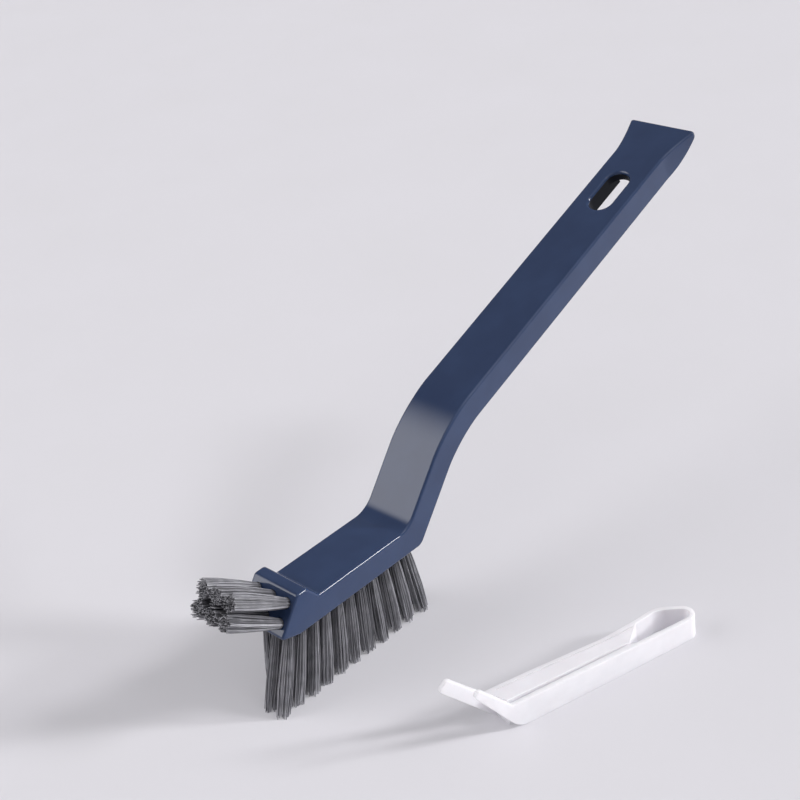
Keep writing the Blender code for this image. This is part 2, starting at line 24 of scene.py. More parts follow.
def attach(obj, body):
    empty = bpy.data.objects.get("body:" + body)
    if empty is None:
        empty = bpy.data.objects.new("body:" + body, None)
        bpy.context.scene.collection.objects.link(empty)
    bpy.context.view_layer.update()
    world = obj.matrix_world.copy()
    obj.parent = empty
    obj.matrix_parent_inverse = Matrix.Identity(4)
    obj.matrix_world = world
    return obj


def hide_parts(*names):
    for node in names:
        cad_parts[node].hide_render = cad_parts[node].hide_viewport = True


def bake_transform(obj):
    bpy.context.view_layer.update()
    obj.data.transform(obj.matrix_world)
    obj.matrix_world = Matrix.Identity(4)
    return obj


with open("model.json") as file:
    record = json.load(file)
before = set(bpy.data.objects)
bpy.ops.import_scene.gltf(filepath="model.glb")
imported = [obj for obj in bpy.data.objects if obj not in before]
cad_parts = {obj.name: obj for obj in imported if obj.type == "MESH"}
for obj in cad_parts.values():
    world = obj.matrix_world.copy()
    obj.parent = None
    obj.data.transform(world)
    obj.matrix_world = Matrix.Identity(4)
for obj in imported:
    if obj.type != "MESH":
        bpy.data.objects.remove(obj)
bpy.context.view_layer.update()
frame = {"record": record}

MM = 0.001
# The angle from which an edge counts as sharp.
FLAT_TURN = math.radians(30)
# How near two places have to be to count as one, and how near points are merged.
TOUCH = 0.02 * MM
WELD = 0.002 * MM
# How much the large faces count when normals are weighed.
NORMAL_WEIGHT = 60
# How near a cutting plane a point may lie and still be taken as on it.
FINE_CUT = 0.0001 * MM
# The middle of a noise's range, where most of its values lie.
NOISE_SPAN = (0.3, 0.7)
LOG = logging.getLogger("crevice_brush")

Shade = tuple[float, float, float, float]


class Element(Enum):
    """What an edit-mode selection is made of."""

    POINT = "VERT"
    EDGE = "EDGE"
    FACE = "FACE"


class Trim(Enum):
    """How the free ends of a tuft are cut."""

    FLOOR = "floor"
    SQUARE = "square"


class Row(Enum):
    """The three rows of tufts below the head, by their side of the middle."""

    NEAR = -1
    MIDDLE = 0
    FAR = 1


class Layer(Enum):
    """The two layers of tufts on the nose, by their side of the middle."""

    UPPER = 0.5
    LOWER = -0.5


def rise(angle: float) -> Vector:
    """Give the unit direction in the side plane at an angle above the level."""
    return Vector((math.cos(angle), 0, math.sin(angle)))


def below(angle: float) -> Vector:
    """Give the unit direction out of the underside of a line at an angle above the level."""
    return Vector((math.sin(angle), 0, -math.cos(angle)))


def crossing(point: Vector, angle: float, other: Vector, other_angle: float) -> Vector:
    """Find where two lines of the side plane meet.

    Args:
        point: A point of the first line.
        angle: The first line's angle above the level.
        other: A point of the second line.
        other_angle: The second line's angle above the level.

    Returns:
        The meeting point, with Y at zero.
    """
    way, cross, gap = rise(angle), rise(other_angle), other - point
    run = (gap.x * cross.z - gap.z * cross.x) / (way.x * cross.z - way.z * cross.x)
    return point + way * run


@dataclass(frozen=True)
class Corner:
    """A corner of an outline, with the radius that rounds it.

    Attributes:
        place: The sharp corner.
        radius: Radius of the rounding, or zero for a corner that stays sharp.
        steps: Straight steps that make the rounding.
    """

    place: Vector
    radius: float = 0.0
    steps: int = 4


class Workpiece:
    """A mesh on the bench, which is shaped by hand moves in edit mode."""

    def __init__(self, name: str) -> None:
        """Take up the primitive that was just added.

        Args:
            name: Name of the piece.
        """
        self.object = bpy.context.object
        self.object.name = name
        self.object.data.name = name
        self.end: list[Vector] = []

    def __enter__(self) -> Workpiece:
        """Go into edit mode.

        Returns:
            The piece itself.
        """
        self.hold()
        bpy.ops.object.mode_set(mode="EDIT")
        return self

    def __exit__(self, *_: object) -> None:
        """Come back to object mode."""
        bpy.ops.object.mode_set(mode="OBJECT")

    @staticmethod
    def clear_selection() -> None:
        """Deselect every object, because an operator acts on all that is selected."""
        bpy.ops.object.select_all(action="DESELECT")

    @staticmethod
    def pick_all() -> None:
        """Select the whole mesh."""
        bpy.ops.mesh.select_all(action="SELECT")

    @staticmethod
    def move(offset: Sequence[float]) -> None:
        """Move what is selected by an offset."""
        bpy.ops.transform.translate(value=offset)

    @staticmethod
    def stretch(factors: Sequence[float], middle: Sequence[float]) -> None:
        """Stretch what is selected about a point."""
        bpy.ops.transform.resize(value=factors, center_override=middle)

    @staticmethod
    def round_off(width: float, steps: int, affect: str = "EDGES", measure: str = "OFFSET") -> None:
        """Round the selected edges or points, with the width measured as Blender's option says."""
        bpy.ops.mesh.bevel(offset=width, offset_type=measure, segments=steps, profile=0.5,
                           affect=affect, clamp_overlap=False)

    @staticmethod
    def cut(place: Sequence[float], way: Sequence[float], slack: float = FINE_CUT,
            trim: bool = False) -> None:
        """Cut the whole mesh by a plane, and where asked trim off what lies beyond it."""
        Workpiece.pick_all()
        bpy.ops.mesh.bisect(plane_co=place, plane_no=way, threshold=slack, use_fill=trim,
                            clear_outer=trim)

    @classmethod
    def from_outline(cls, name: str, corners: Sequence[Corner]) -> Workpiece:
        """Draw a closed outline corner by corner, fill it, and round its corners.

        Args:
            name: Name of the piece.
            corners: Corners in order round the outline.

        Returns:
            The flat piece.
        """
        cls.clear_selection()
        bpy.ops.mesh.primitive_plane_add(size=MM, location=(0, 0, 0))
        piece = cls(name)
        places = [corner.place for corner in corners]
        with piece:
            bpy.ops.mesh.select_mode(type="VERT")
            cls.pick_all()
            bpy.ops.mesh.merge(type="CENTER")
            cls.move(places[0])
            for here, following in zip(places, places[1:]):
                move = {"value": following - here}
                bpy.ops.mesh.extrude_vertices_move(TRANSFORM_OT_translate=move)
            cls.pick_all()
            bpy.ops.mesh.edge_face_add()
            for i, corner in enumerate(corners):
                if corner.radius:
                    before = (corner.place - places[i - 1]).normalized()
                    after = (places[(i + 1) % len(places)] - corner.place).normalized()
                    reach = corner.radius * math.tan(before.angle(after) / 2)
                    piece.pick_near(corner.place)
                    cls.round_off(reach, corner.steps, "VERTICES", "ABSOLUTE")
        return piece

    @classmethod
    def rod(cls, name: str, sides: int, radius: float, bottom: float, top: float) -> Workpiece:
        """Add an upright rod at the origin.

        Args:
            name: Name of the piece.
            sides: Number of its sides.
            radius: Its radius.
            bottom: Height of its lower end.
            top: Height of its upper end.

        Returns:
            The rod.
        """
        cls.clear_selection()
        bpy.ops.mesh.primitive_cylinder_add(vertices=sides, radius=radius, depth=top - bottom,
                                            location=(0, 0, 0))
        piece = cls(name)
        with piece:
            cls.move((0, 0, (top + bottom) / 2))
        return piece

    def hold(self) -> None:
        """Make this piece the only one selected, and the active one."""
        self.clear_selection()
        self.object.select_set(True)
        bpy.context.view_layer.objects.active = self.object

    def pick(self, kind: Element, test: Callable[[Vector], bool]) -> None:
        """Select the elements whose middle passes a test, and nothing else.

        Args:
            kind: What to select.
            test: Test of the middle's place.
        """
        bpy.ops.mesh.select_mode(type=kind.value)
        bpy.ops.mesh.select_all(action="DESELECT")
        shape = bmesh.from_edit_mesh(self.object.data)
        items = {Element.POINT: shape.verts, Element.EDGE: shape.edges, Element.FACE: shape.faces}
        for item in items[kind]:
            corners = [item] if kind is Element.POINT else item.verts
            middle = sum((corner.co for corner in corners), Vector()) / len(corners)
            if test(middle):
                item.select_set(True)
        shape.select_flush_mode()
        bmesh.update_edit_mesh(self.object.data)

    def pick_near(self, place: Vector) -> None:
        """Select the points at a place."""
        self.pick(Element.POINT, lambda point: (point - place).length < TOUCH)

    def pick_near_edge(self, place: Vector) -> None:
        """Select the edge with its middle at a place."""
        self.pick(Element.EDGE, lambda middle: (middle - place).length < TOUCH)

    def choose(self, numbers: Sequence[int]) -> None:
        """Select the points with these numbers, and nothing else.

        Args:
            numbers: The points' numbers in the mesh.
        """
        bpy.ops.mesh.select_all(action="DESELECT")
        shape = bmesh.from_edit_mesh(self.object.data)
        shape.verts.ensure_lookup_table()
        for number in numbers:
            shape.verts[number].select_set(True)
        shape.select_flush(True)
        bmesh.update_edit_mesh(self.object.data)

    def chosen(self) -> dict[int, Vector]:
        """Give the numbers and places of the selected points.

        Returns:
            The places by number.
        """
        shape = bmesh.from_edit_mesh(self.object.data)
        shape.verts.index_update()
        return {point.index: point.co.copy() for point in shape.verts if point.select}

    def extrude(self, offset: Sequence[float]) -> None:
        """Extrude what is selected by an offset."""
        bpy.ops.mesh.extrude_region_move(TRANSFORM_OT_translate={"value": Vector(offset)})

    def draw_out(self, ring: Sequence[Vector]) -> None:
        """Extrude the end face and carry each of its corners to a new place.

        Args:
            ring: New places, in the order of the corners in self.end.
        """
        middle = sum(self.end, Vector()) / len(self.end)
        self.pick(Element.FACE, lambda place: (place - middle).length < TOUCH)
        bpy.ops.mesh.extrude_region_move()
        fresh = self.chosen()
        bpy.ops.mesh.select_mode(type="VERT")
        for old, new in zip(self.end, ring):
            number = next(key for key, place in fresh.items() if (place - old).length < WELD)
            self.choose([number])
            self.move(new - old)
        self.end = list(ring)

    def bevel_sharp(self, width: float, steps: int, turn: float) -> None:
        """Round every edge where the surface turns by more than an angle.

        Args:
            width: Width of the rounding.
            steps: Steps of the rounding.
            turn: The angle.
        """
        bpy.ops.mesh.select_mode(type="EDGE")
        bpy.ops.mesh.select_all(action="DESELECT")
        bpy.ops.mesh.edges_select_sharp(sharpness=turn)
        self.round_off(width, steps)

    def face_outwards(self) -> None:
        """Merge doubles and turn every face outwards."""
        self.pick_all()
        bpy.ops.mesh.remove_doubles(threshold=WELD)
        bpy.ops.mesh.normals_make_consistent(inside=False)

    def modify(self, kind: str, **settings: object) -> None:
        """Add a modifier and apply it at once.

        Args:
            kind: The modifier's type name.
            **settings: Its settings.
        """
        self.hold()
        bpy.ops.object.modifier_add(type=kind)
        step = self.object.modifiers[-1]
        for name, value in settings.items():
            setattr(step, name, value)
        bpy.ops.object.modifier_apply(modifier=step.name)

    def carve(self, tool: Workpiece) -> None:
        """Cut another piece out of this one by an exact Boolean, and use the other piece up.

        Args:
            tool: The other piece.
        """
        self.modify("BOOLEAN", operation="DIFFERENCE", solver="EXACT", object=tool.object)
        tool.discard()

    def copy(self, name: str, place: Matrix) -> Workpiece:
        """Copy the piece, with a mesh of its own, to a new place.

        Args:
            name: Name of the copy.
            place: Matrix that carries the copy's mesh.

        Returns:
            The copy.
        """
        twin = self.object.copy()
        twin.data = self.object.data.copy()
        twin.data.transform(place)
        bpy.context.collection.objects.link(twin)
        self.clear_selection()
        twin.select_set(True)
        bpy.context.view_layer.objects.active = twin
        return Workpiece(name)

    def join(self, others: Sequence[Workpiece]) -> None:
        """Join other pieces into this one.

        Args:
            others: The pieces that are used up.
        """
        self.hold()
        for other in others:
            other.object.select_set(True)
        bpy.ops.object.join()

    def discard(self) -> None:
        """Remove the piece and its mesh."""
        mesh = self.object.data
        bpy.data.objects.remove(self.object, do_unlink=True)
        bpy.data.meshes.remove(mesh)

    def smooth(self) -> None:
        """Shade smooth, with edges kept crisp where the surface turns sharply."""
        self.hold()
        bpy.ops.object.shade_smooth_by_angle(angle=FLAT_TURN)

    def weigh_normals(self) -> None:
        """Let the large flat faces keep their shading up to their roundings."""
        self.modify("WEIGHTED_NORMAL", keep_sharp=True, weight=NORMAL_WEIGHT)

    def mark(self, name: str, domain: str, values: Sequence[float]) -> None:
        """Give the mesh a mark that its finish reads.

        Args:
            name: Name of the mark.
            domain: POINT or FACE.
            values: One value for each of them.
        """
        made = self.object.data.attributes.new(name, "FLOAT", domain)
        made.data.foreach_set("value", values)

    def settle(self, place: Matrix) -> None:
        """Carry the mesh to its place, with the object at the origin.

        Args:
            place: Matrix from the piece's frame to the scene's frame.
        """
        self.hold()
        self.object.matrix_world = place
        bpy.ops.object.transform_apply(location=True, rotation=True, scale=True)

    def dress(self, finish: bpy.types.Material, slot: str) -> None:
        """Give the piece its finish.

        Args:
            finish: The material.
            slot: Name of the record's slot; not used.
        """
        self.object.data.materials.clear()
        self.object.data.materials.append(finish)

    def report(self) -> None:
        """Log the piece and its size."""
        mesh = self.object.data
        LOG.info("%s: %d points, %d faces", self.object.name, len(mesh.vertices),
                 len(mesh.polygons))


class NodeSheet:
    """A node tree that is filled node by node."""

    def __init__(self, tree: bpy.types.NodeTree) -> None:
        """Take up a tree and clear it."""
        self.tree = tree
        self.tree.nodes.clear()

    def add(self, kind: str, settings: dict[str, object] | None = None,
            **inputs: object) -> bpy.types.Node:
        """Add a node.

        Args:
            kind: The node's type name.
            settings: Settings of the node itself.
            **inputs: Values or outputs for its sockets. A socket goes by its name, with _ for a
                space, or by n and its number.

        Returns:
            The node.
        """
        node = self.tree.nodes.new(kind)
        for name, value in (settings or {}).items():
            setattr(node, name, value)
        for name, value in inputs.items():
            numbered = name.startswith("n") and name[1:].isdigit()
            socket = node.inputs[int(name[1:]) if numbered else name.replace("_", " ")]
            if isinstance(value, bpy.types.NodeSocket):
                self.tree.links.new(value, socket)
            else:
                socket.default_value = value
        return node

    def reckon(self, operation: str, *values: object) -> bpy.types.NodeSocket:
        """Reckon with values or sockets by a maths node."""
        terms = {f"n{index}": value for index, value in enumerate(values)}
        return self.add("ShaderNodeMath", {"operation": operation}, **terms).outputs[0]

    def blend(self, share: object, first: object, second: object) -> bpy.types.NodeSocket:
        """Mix two colours by the share of the second one."""
        return self.add("ShaderNodeMix", {"data_type": "RGBA"}, n0=share, n6=first,
                        n7=second).outputs[2]

    def between(self, value: bpy.types.NodeSocket, low: float, high: float, to_low: float,
                to_high: float) -> bpy.types.NodeSocket:
        """Map a value from one range to another, with a soft start and end."""
        return self.add("ShaderNodeMapRange", {"interpolation_type": "SMOOTHSTEP"}, n0=value,
                        n1=low, n2=high, n3=to_low, n4=to_high).outputs[0]

    def noise(self, scale: object, detail: float, rough: float = 0.5) -> bpy.types.NodeSocket:
        """Add a noise over the object's own coordinates."""
        place = self.add("ShaderNodeTexCoord").outputs["Object"]
        return self.add("ShaderNodeTexNoise", Vector=place, Scale=scale, Detail=detail,
                        Roughness=rough).outputs[0]

    def mark(self, name: str) -> bpy.types.NodeSocket:
        """Read one of the mesh's own marks as a value."""
        return self.add("ShaderNodeAttribute", {"attribute_name": name}).outputs["Fac"]

    def surface(self, **inputs: object) -> None:
        """Close a material with its shader and its output."""
        shader = self.add("ShaderNodeBsdfPrincipled", **inputs)
        self.add("ShaderNodeOutputMaterial", Surface=shader.outputs[0])


def new_material(name: str) -> tuple[bpy.types.Material, NodeSheet]:
    """Start a material.

    Args:
        name: Its name.

    Returns:
        The material and its empty sheet.
    """
    made = bpy.data.materials.new(name)
    made.use_nodes = True
    return made, NodeSheet(made.node_tree)


def colour(red: float, green: float, blue: float) -> Shade:
    """Turn a screen colour from 0 to 255 into a linear one.

    Args:
        red: Red from 0 to 255.
        green: Green from 0 to 255.
        blue: Blue from 0 to 255.

    Returns:
        The linear colour with full alpha.
    """
    shares = [value / 255 for value in (red, green, blue)]
    linear = [s / 12.92 if s <= 0.04045 else ((s + 0.055) / 1.055) ** 2.4 for s in shares]
    return (linear[0], linear[1], linear[2], 1.0)


@dataclass(frozen=True)
class MouldedGrain:
    """The fine unevenness of a moulded plastic, as a node group.

    Attributes:
        name: Name of the group.
        cloud_detail: Detail of the clouding.
        grain_detail: Detail of the grain.
        grain_rough: Roughness of the grain's noise.
        grain_share: Share of the grain in the height.
    """

    name: str = "moulded_grain"
    cloud_detail: float = 3.0
    grain_detail: float = 2.0
    grain_rough: float = 0.6
    grain_share: float = 0.15

    def group(self) -> bpy.types.NodeTree:
        """Build the group once.

        Returns:
            The node group, with Cloud, Grain and Height outputs.
        """
        if self.name in bpy.data.node_groups:
            return bpy.data.node_groups[self.name]
        tree = bpy.data.node_groups.new(self.name, "ShaderNodeTree")
        sheet = NodeSheet(tree)
        for side, labels in (("INPUT", ("Cloud Scale", "Grain Scale")),
                             ("OUTPUT", ("Cloud", "Grain", "Height"))):
            for label in labels:
                tree.interface.new_socket(label, in_out=side, socket_type="NodeSocketFloat")
        given = sheet.add("NodeGroupInput").outputs
        cloud = sheet.noise(given["Cloud Scale"], self.cloud_detail)
        grain = sheet.noise(given["Grain Scale"], self.grain_detail, self.grain_rough)
        height = sheet.reckon("MULTIPLY_ADD", grain, self.grain_share, cloud)
        sheet.add("NodeGroupOutput", Cloud=sheet.between(cloud, *NOISE_SPAN, 0.0, 1.0),
                  Grain=sheet.between(grain, *NOISE_SPAN, 0.0, 1.0), Height=height)
        return tree


@dataclass(frozen=True)
class PlasticFinish:
    """A moulded plastic, with painted shade on the faces marked core.

    Attributes:
        name: Name of the material.
        deep: Colour of its deeper places.
        pale: Colour of its paler places.
        core: Colour on the faces marked core, the deep slot walls: painted shade.
        smooth: Roughness of its smoother places.
        rough: Roughness of its rougher places.
        bump: Strength of its unevenness.
        reach: Depth of its unevenness.
        cloud_scale: Fineness of its clouding.
        grain_scale: Fineness of its grain.
        scatter: Weight of the light that spreads below its surface.
        scatter_reach: How far that light spreads.
        scatter_shares: How far its red, green and blue spread.
        core_rough: Roughness added on the faces marked core.
        painted_shade_metal: Metallic share on the faces marked core, which darkens them as painted
            shade.
        refraction: Index of refraction.
    """

    name: str
    deep: Shade
    pale: Shade
    core: Shade
    smooth: float
    rough: float
    bump: float
    reach: float
    cloud_scale: float
    grain_scale: float
    scatter: float = 0.0
    scatter_reach: float = 5 * MM
    scatter_shares: tuple[float, float, float] = (1.0, 0.9, 0.9)
    core_rough: float = 0.4
    painted_shade_metal: float = 0.85
    refraction: float = 1.5

    def material(self) -> bpy.types.Material:
        """Build the material.

        Returns:
            The material.
        """
        made, sheet = new_material(self.name)
        grain = sheet.add("ShaderNodeGroup", {"node_tree": MouldedGrain().group()},
                          Cloud_Scale=self.cloud_scale, Grain_Scale=self.grain_scale).outputs
        # Faces marked core get the core colour and a metallic share: painted shade in the deep slot.
        core = sheet.mark("core")
        base = sheet.blend(core, sheet.blend(grain["Cloud"], self.deep, self.pale), self.core)
        sheen = sheet.between(grain["Grain"], 0.0, 1.0, self.smooth, self.rough)
        bump = sheet.add("ShaderNodeBump", Strength=self.bump, Distance=self.reach,
                         Height=grain["Height"])
        sheet.surface(Base_Color=base, Normal=bump.outputs[0], IOR=self.refraction,
                      Roughness=sheet.reckon("MULTIPLY_ADD", core, self.core_rough, sheen),
                      Metallic=sheet.reckon("MULTIPLY", core, self.painted_shade_metal),
                      Subsurface_Weight=self.scatter, Subsurface_Radius=self.scatter_shares,
                      Subsurface_Scale=self.scatter_reach)
        return made


@dataclass(frozen=True)
class FilamentFinish:
    """The nylon of the bristles, with a tone of its own for each strand and painted shade towards
    the root.

    Attributes:
        name: Name of the material.
        dark: Colour of the darkest strands.
        light: Colour of the lightest strands.
        streak_scale: Fineness of the streaks along the strands.
        streak_detail: Detail of the streaks.
        streak_share: How much the streaks change the tone.
        root_shade_end: Share of the length up to which a strand is painted darker, as shade deep in
            the tuft.
        root_painted_shade: How much darker the painted shade makes a strand at its root.
        worn_from: Share of the length from which a strand is worn.
        worn_tones: Change of the tone before the worn part and at the tip.
        rough: Roughness between the streaks and on them.
        refraction: Index of refraction.
    """

    name: str
    dark: Shade
    light: Shade
    streak_scale: float = 260.0
    streak_detail: float = 2.0
    streak_share: float = 0.3
    root_shade_end: float = 0.4
    root_painted_shade: float = -0.5
    worn_from: float = 0.86
    worn_tones: tuple[float, float] = (-0.1, 0.35)
    rough: tuple[float, float] = (0.36, 0.52)
    refraction: float = 1.53

    def material(self) -> bpy.types.Material:
        """Build the material.

        Returns:
            The material.
        """
        made, sheet = new_material(self.name)
        streak = sheet.noise(self.streak_scale, self.streak_detail)
        reach = sheet.mark("reach")
        tone = sheet.reckon("ADD", sheet.mark("tone"),
                            sheet.between(reach, self.worn_from, 1.0, *self.worn_tones))
        # Painted shade: darker towards the root, deep in the tuft.
        tone = sheet.reckon("ADD", tone,
                            sheet.between(reach, 0.0, self.root_shade_end, self.root_painted_shade, 0.0))
        share = sheet.reckon("MULTIPLY_ADD", sheet.between(streak, *NOISE_SPAN, -0.5, 0.5),
                             self.streak_share, tone)
        sheet.surface(Base_Color=sheet.blend(share, self.dark, self.light), IOR=self.refraction,
                      Roughness=sheet.between(streak, *NOISE_SPAN, *self.rough))
        return made


# The core colours darken the faces marked core: painted shade in the slot's deep walls.
NAVY = PlasticFinish(
    "navy_plastic", deep=colour(42, 57, 88), pale=colour(46, 62, 94), core=colour(10, 14, 24),
    smooth=0.05, rough=0.09, bump=0.02, reach=0.02 * MM, cloud_scale=60.0, grain_scale=1500.0)
WHITE = PlasticFinish(
    "white_plastic", deep=colour(234, 232, 237), pale=colour(239, 237, 242),
    core=colour(225, 223, 228), smooth=0.3, rough=0.42, bump=0.05, reach=0.03 * MM,
    cloud_scale=120.0, grain_scale=2500.0, scatter=0.6)
GREY = FilamentFinish("grey_filament", dark=colour(92, 92, 97), light=colour(166, 166, 172))
# A darker filament for the middle row: painted shade where the rows beside it keep the light off.
PAINTED_SHADE_GREY = FilamentFinish("painted_shade_filament", dark=colour(44, 44, 48),
                            light=colour(96, 96, 102))


@dataclass
class Handle:
    """The one-piece handle: head with collar and nose, neck, hollow grip and flared tail."""

    head_length: float = 45.9 * MM
    neck_length: float = 41.7 * MM
    grip_length: float = 166.15 * MM
    neck_rise: float = math.radians(50.2)
    grip_rise: float = math.radians(20.5)
    low_bend_radius: float = 11 * MM
    low_bend_steps: int = 9
    low_heel_radius: float = 4 * MM
    low_heel_steps: int = 8
    high_bend_radius: float = 56 * MM
    high_hollow_radius: float = 45 * MM
    high_bend_steps: int = 14
    width: float = 23.2 * MM
    head_depth: float = 10.6 * MM
    neck_depth: float = 11.1 * MM
    grip_depth: float = 11.4 * MM
    head_top: float = 42.9 * MM
    edge_round: float = 1.1 * MM
    edge_steps: int = 4
    edge_turn: float = math.radians(40)
    collar_height: float = 5.8 * MM
    collar_front: float = -9.51 * MM
    collar_front_round: float = 2 * MM
    collar_back: float = -4.95 * MM
    collar_back_round: float = 1.6 * MM
    collar_foot: float = -0.25 * MM
    collar_foot_round: float = 1.5 * MM
    nose_corner: Vector = field(default_factory=lambda: Vector((-20.08, 0, 34.87)) * MM)
    nose_round: float = 1.2 * MM
    nose_steps: int = 5
    nose_heel: float = -11.38 * MM
    nose_heel_round: float = 4 * MM
    tail_width: float = 32 * MM
    tail_flare: float = 19.3 * MM
    tail_lip: float = 2.6 * MM
    tail_corner: float = 1.9 * MM
    tail_corner_steps: int = 6
    tail_steps: int = 12
    thinning_power: float = 2.2
    widening_power: float = 1.5
    slot_from_end: float = 40.7 * MM
    slot_length: float = 21.8 * MM
    slot_width: float = 10.4 * MM
    slot_rim: float = 1.2 * MM
    rim_steps: int = 5
    slot_steps: int = 16
    boss_wall: float = 1.6 * MM
    boss_depth: float = 8 * MM
    boss_end: float = 6 * MM
    boss_end_depth: float = 4.2 * MM
    side_wall: float = 1.7 * MM
    top_wall: float = 1.9 * MM
    hollow_from_bend: float = 12 * MM
    hollow_from_tail: float = 20.6 * MM
    hollow_corner: float = 1 * MM
    hollow_steps: int = 3
    hollow_turn: float = math.radians(35)
    hole_radius: float = 2.15 * MM
    hole_depth: float = 3.5 * MM
    hole_sides: int = 14
    overrun: float = 1 * MM
    cut_slack: float = 0.01 * MM
    flare_slack: float = 0.05 * MM
    # Slack and rim share of the slot walls that get painted shade.
    shade_mark_slack: float = 0.1 * MM
    shade_mark_rim_share: float = 0.9

    @property
    def low_corner(self) -> Vector:
        """Give the corner of the top line between head and neck."""
        return Vector((self.head_length, 0, self.head_top))

    @property
    def high_corner(self) -> Vector:
        """Give the corner of the top line between neck and grip."""
        return self.low_corner + rise(self.neck_rise) * self.neck_length

    def on_grip(self, along: float, down: float = 0.0, side: float = 0.0) -> Vector:
        """Give a point of the grip, measured back from its tail end.

        Args:
            along: Distance from the tail end.
            down: Depth below the top face.
            side: Distance to the far side of the middle.

        Returns:
            The point.
        """
        end = self.high_corner + rise(self.grip_rise) * self.grip_length
        place = end - rise(self.grip_rise) * along + below(self.grip_rise) * down
        return place + Vector((0, side, 0))

    def under_bend(self, neck_down: float, grip_down: float) -> Vector:
        """Give the bend between neck and grip, at a depth below the top line of each."""
        return crossing(self.low_corner + below(self.neck_rise) * neck_down, self.neck_rise,
                        self.high_corner + below(self.grip_rise) * grip_down, self.grip_rise)

    def flare_stations(self) -> list[tuple[float, float, float]]:
        """Give the distance from the end, depth and widening along the flared tail.

        Returns:
            A list from the flare's start to the tail end.
        """
        stations = []
        for step in range(self.tail_steps + 1):
            share = step / self.tail_steps
            thinner = 1 - share ** self.thinning_power
            depth = self.tail_lip + (self.grip_depth - self.tail_lip) * thinner
            wider = 1 + (self.tail_width / self.width - 1) * share ** self.widening_power
            stations.append((self.tail_flare * (1 - share), depth, wider))
        return stations

    def corners(self) -> list[Corner]:
        """Give the corners of the side outline, round from the nose over the top.

        Returns:
            The corners.
        """
        head_under = self.head_top - self.head_depth
        collar_top = self.head_top + self.collar_height
        neck_line = self.low_corner + below(self.neck_rise) * self.neck_depth
        heel = crossing(Vector((0, 0, head_under)), 0, neck_line, self.neck_rise)
        hollow = self.under_bend(self.neck_depth, self.grip_depth)
        top = [
            Corner(self.nose_corner, self.nose_round, self.nose_steps),
            Corner(Vector((self.collar_front, 0, collar_top)), self.collar_front_round),
            Corner(Vector((self.collar_back, 0, collar_top)), self.collar_back_round),
            Corner(Vector((self.collar_foot, 0, self.head_top)), self.collar_foot_round),
            Corner(self.low_corner, self.low_bend_radius, self.low_bend_steps),
            Corner(self.high_corner, self.high_bend_radius, self.high_bend_steps),
            Corner(self.on_grip(0)),
        ]
        flare = [Corner(self.on_grip(along, depth))
                 for along, depth, _ in reversed(self.flare_stations())]
        under = [
            Corner(hollow, self.high_hollow_radius, self.high_bend_steps),
            Corner(heel, self.low_heel_radius, self.low_heel_steps),
            Corner(Vector((self.nose_heel, 0, head_under)), self.nose_heel_round),
        ]
        return top + flare + under

    def build_shell(self) -> Workpiece:
        """Build the outer form: outline, width, flared tail and rounded rims.

        Returns:
            The solid shell.
        """
        shell = Workpiece.from_outline("brush_handle", self.corners())
        way = rise(self.grip_rise)
        end = self.on_grip(0)
        with shell:
            shell.pick_all()
            shell.move((0, -self.width / 2, 0))
            shell.extrude((0, self.width, 0))
            shell.face_outwards()
            for along, *_ in self.flare_stations()[:-1]:
                shell.cut(self.on_grip(along), way, self.cut_slack)
            for along, _, wider in self.flare_stations():
                shell.pick(Element.POINT, lambda point, a=along: point.z > self.high_corner.z
                           and abs((end - point).dot(way) - a) < self.flare_slack)
                shell.stretch((1, wider, 1), (0, 0, 0))
            half = self.tail_width / 2
            shell.pick(Element.EDGE, lambda middle: abs((end - middle).dot(way)) < self.flare_slack
                       and abs(abs(middle.y) - half) < self.flare_slack)
            shell.round_off(self.tail_corner, self.tail_corner_steps, measure="ABSOLUTE")
            shell.bevel_sharp(self.edge_round, self.edge_steps, self.edge_turn)
            shell.face_outwards()
        return shell

    def racetrack(self, name: str, length: float, width: float, top: float) -> Workpiece:
        """Build a flat piece with two straight sides and two round ends, across the grip.

        Args:
            name: Name of the piece.
            length: Its whole length.
            width: Its width.
            top: Its depth below the top face.

        Returns:
            The flat piece.
        """
        corners = []
        radius = width / 2
        for end in (1, -1):
            for step in range(self.slot_steps + 1):
                angle = math.pi * (step / self.slot_steps - 0.5)
                run = end * (length / 2 - radius + radius * math.cos(angle))
                corners.append(Corner(self.on_grip(self.slot_from_end - run, top,
                                                   end * radius * math.sin(angle))))
        return Workpiece.from_outline(name, corners)

    def widen_ends(self, piece: Workpiece, radius: float, wider: float) -> None:
        """Widen the selected ring of a racetrack evenly, by stretching each half about its end.

        Args:
            piece: The racetrack, in edit mode, with the ring selected.
            radius: Radius of the ring's ends.
            wider: How much wider it gets all round.
        """
        way = rise(self.grip_rise)
        ring = piece.chosen()
        middle = sum(ring.values(), Vector()) / len(ring)
        reach = self.slot_length / 2 - self.slot_width / 2
        factor = (radius + wider) / radius
        for end in (1, -1):
            piece.choose([number for number, spot in ring.items()
                          if (spot - middle).dot(way) * end > 0])
            piece.stretch((factor, factor, factor), middle + way * end * reach)
        piece.choose(list(ring))

    def slot_tool(self) -> Workpiece:
        """Build the tool that cuts the hanging slot, with its round rim.

        Returns:
            The tool.
        """
        rim, deep = self.slot_rim, self.grip_depth + self.overrun
        tool = self.racetrack("slot_tool", self.slot_length, self.slot_width, deep)
        up = -below(self.grip_rise)
        with tool:
            tool.pick_all()
            tool.extrude(up * (deep - rim))
            depth, radius = rim, self.slot_width / 2
            for step in range(1, self.rim_steps + 1):
                turn = math.pi / 2 * step / self.rim_steps
                down = rim * (1 - math.sin(turn))
                wide = self.slot_width / 2 + rim * (1 - math.cos(turn))
                tool.extrude(up * (depth - down))
                self.widen_ends(tool, radius, wide - radius)
                depth, radius = down, wide
            tool.extrude(up * self.overrun)
            tool.face_outwards()
        return tool

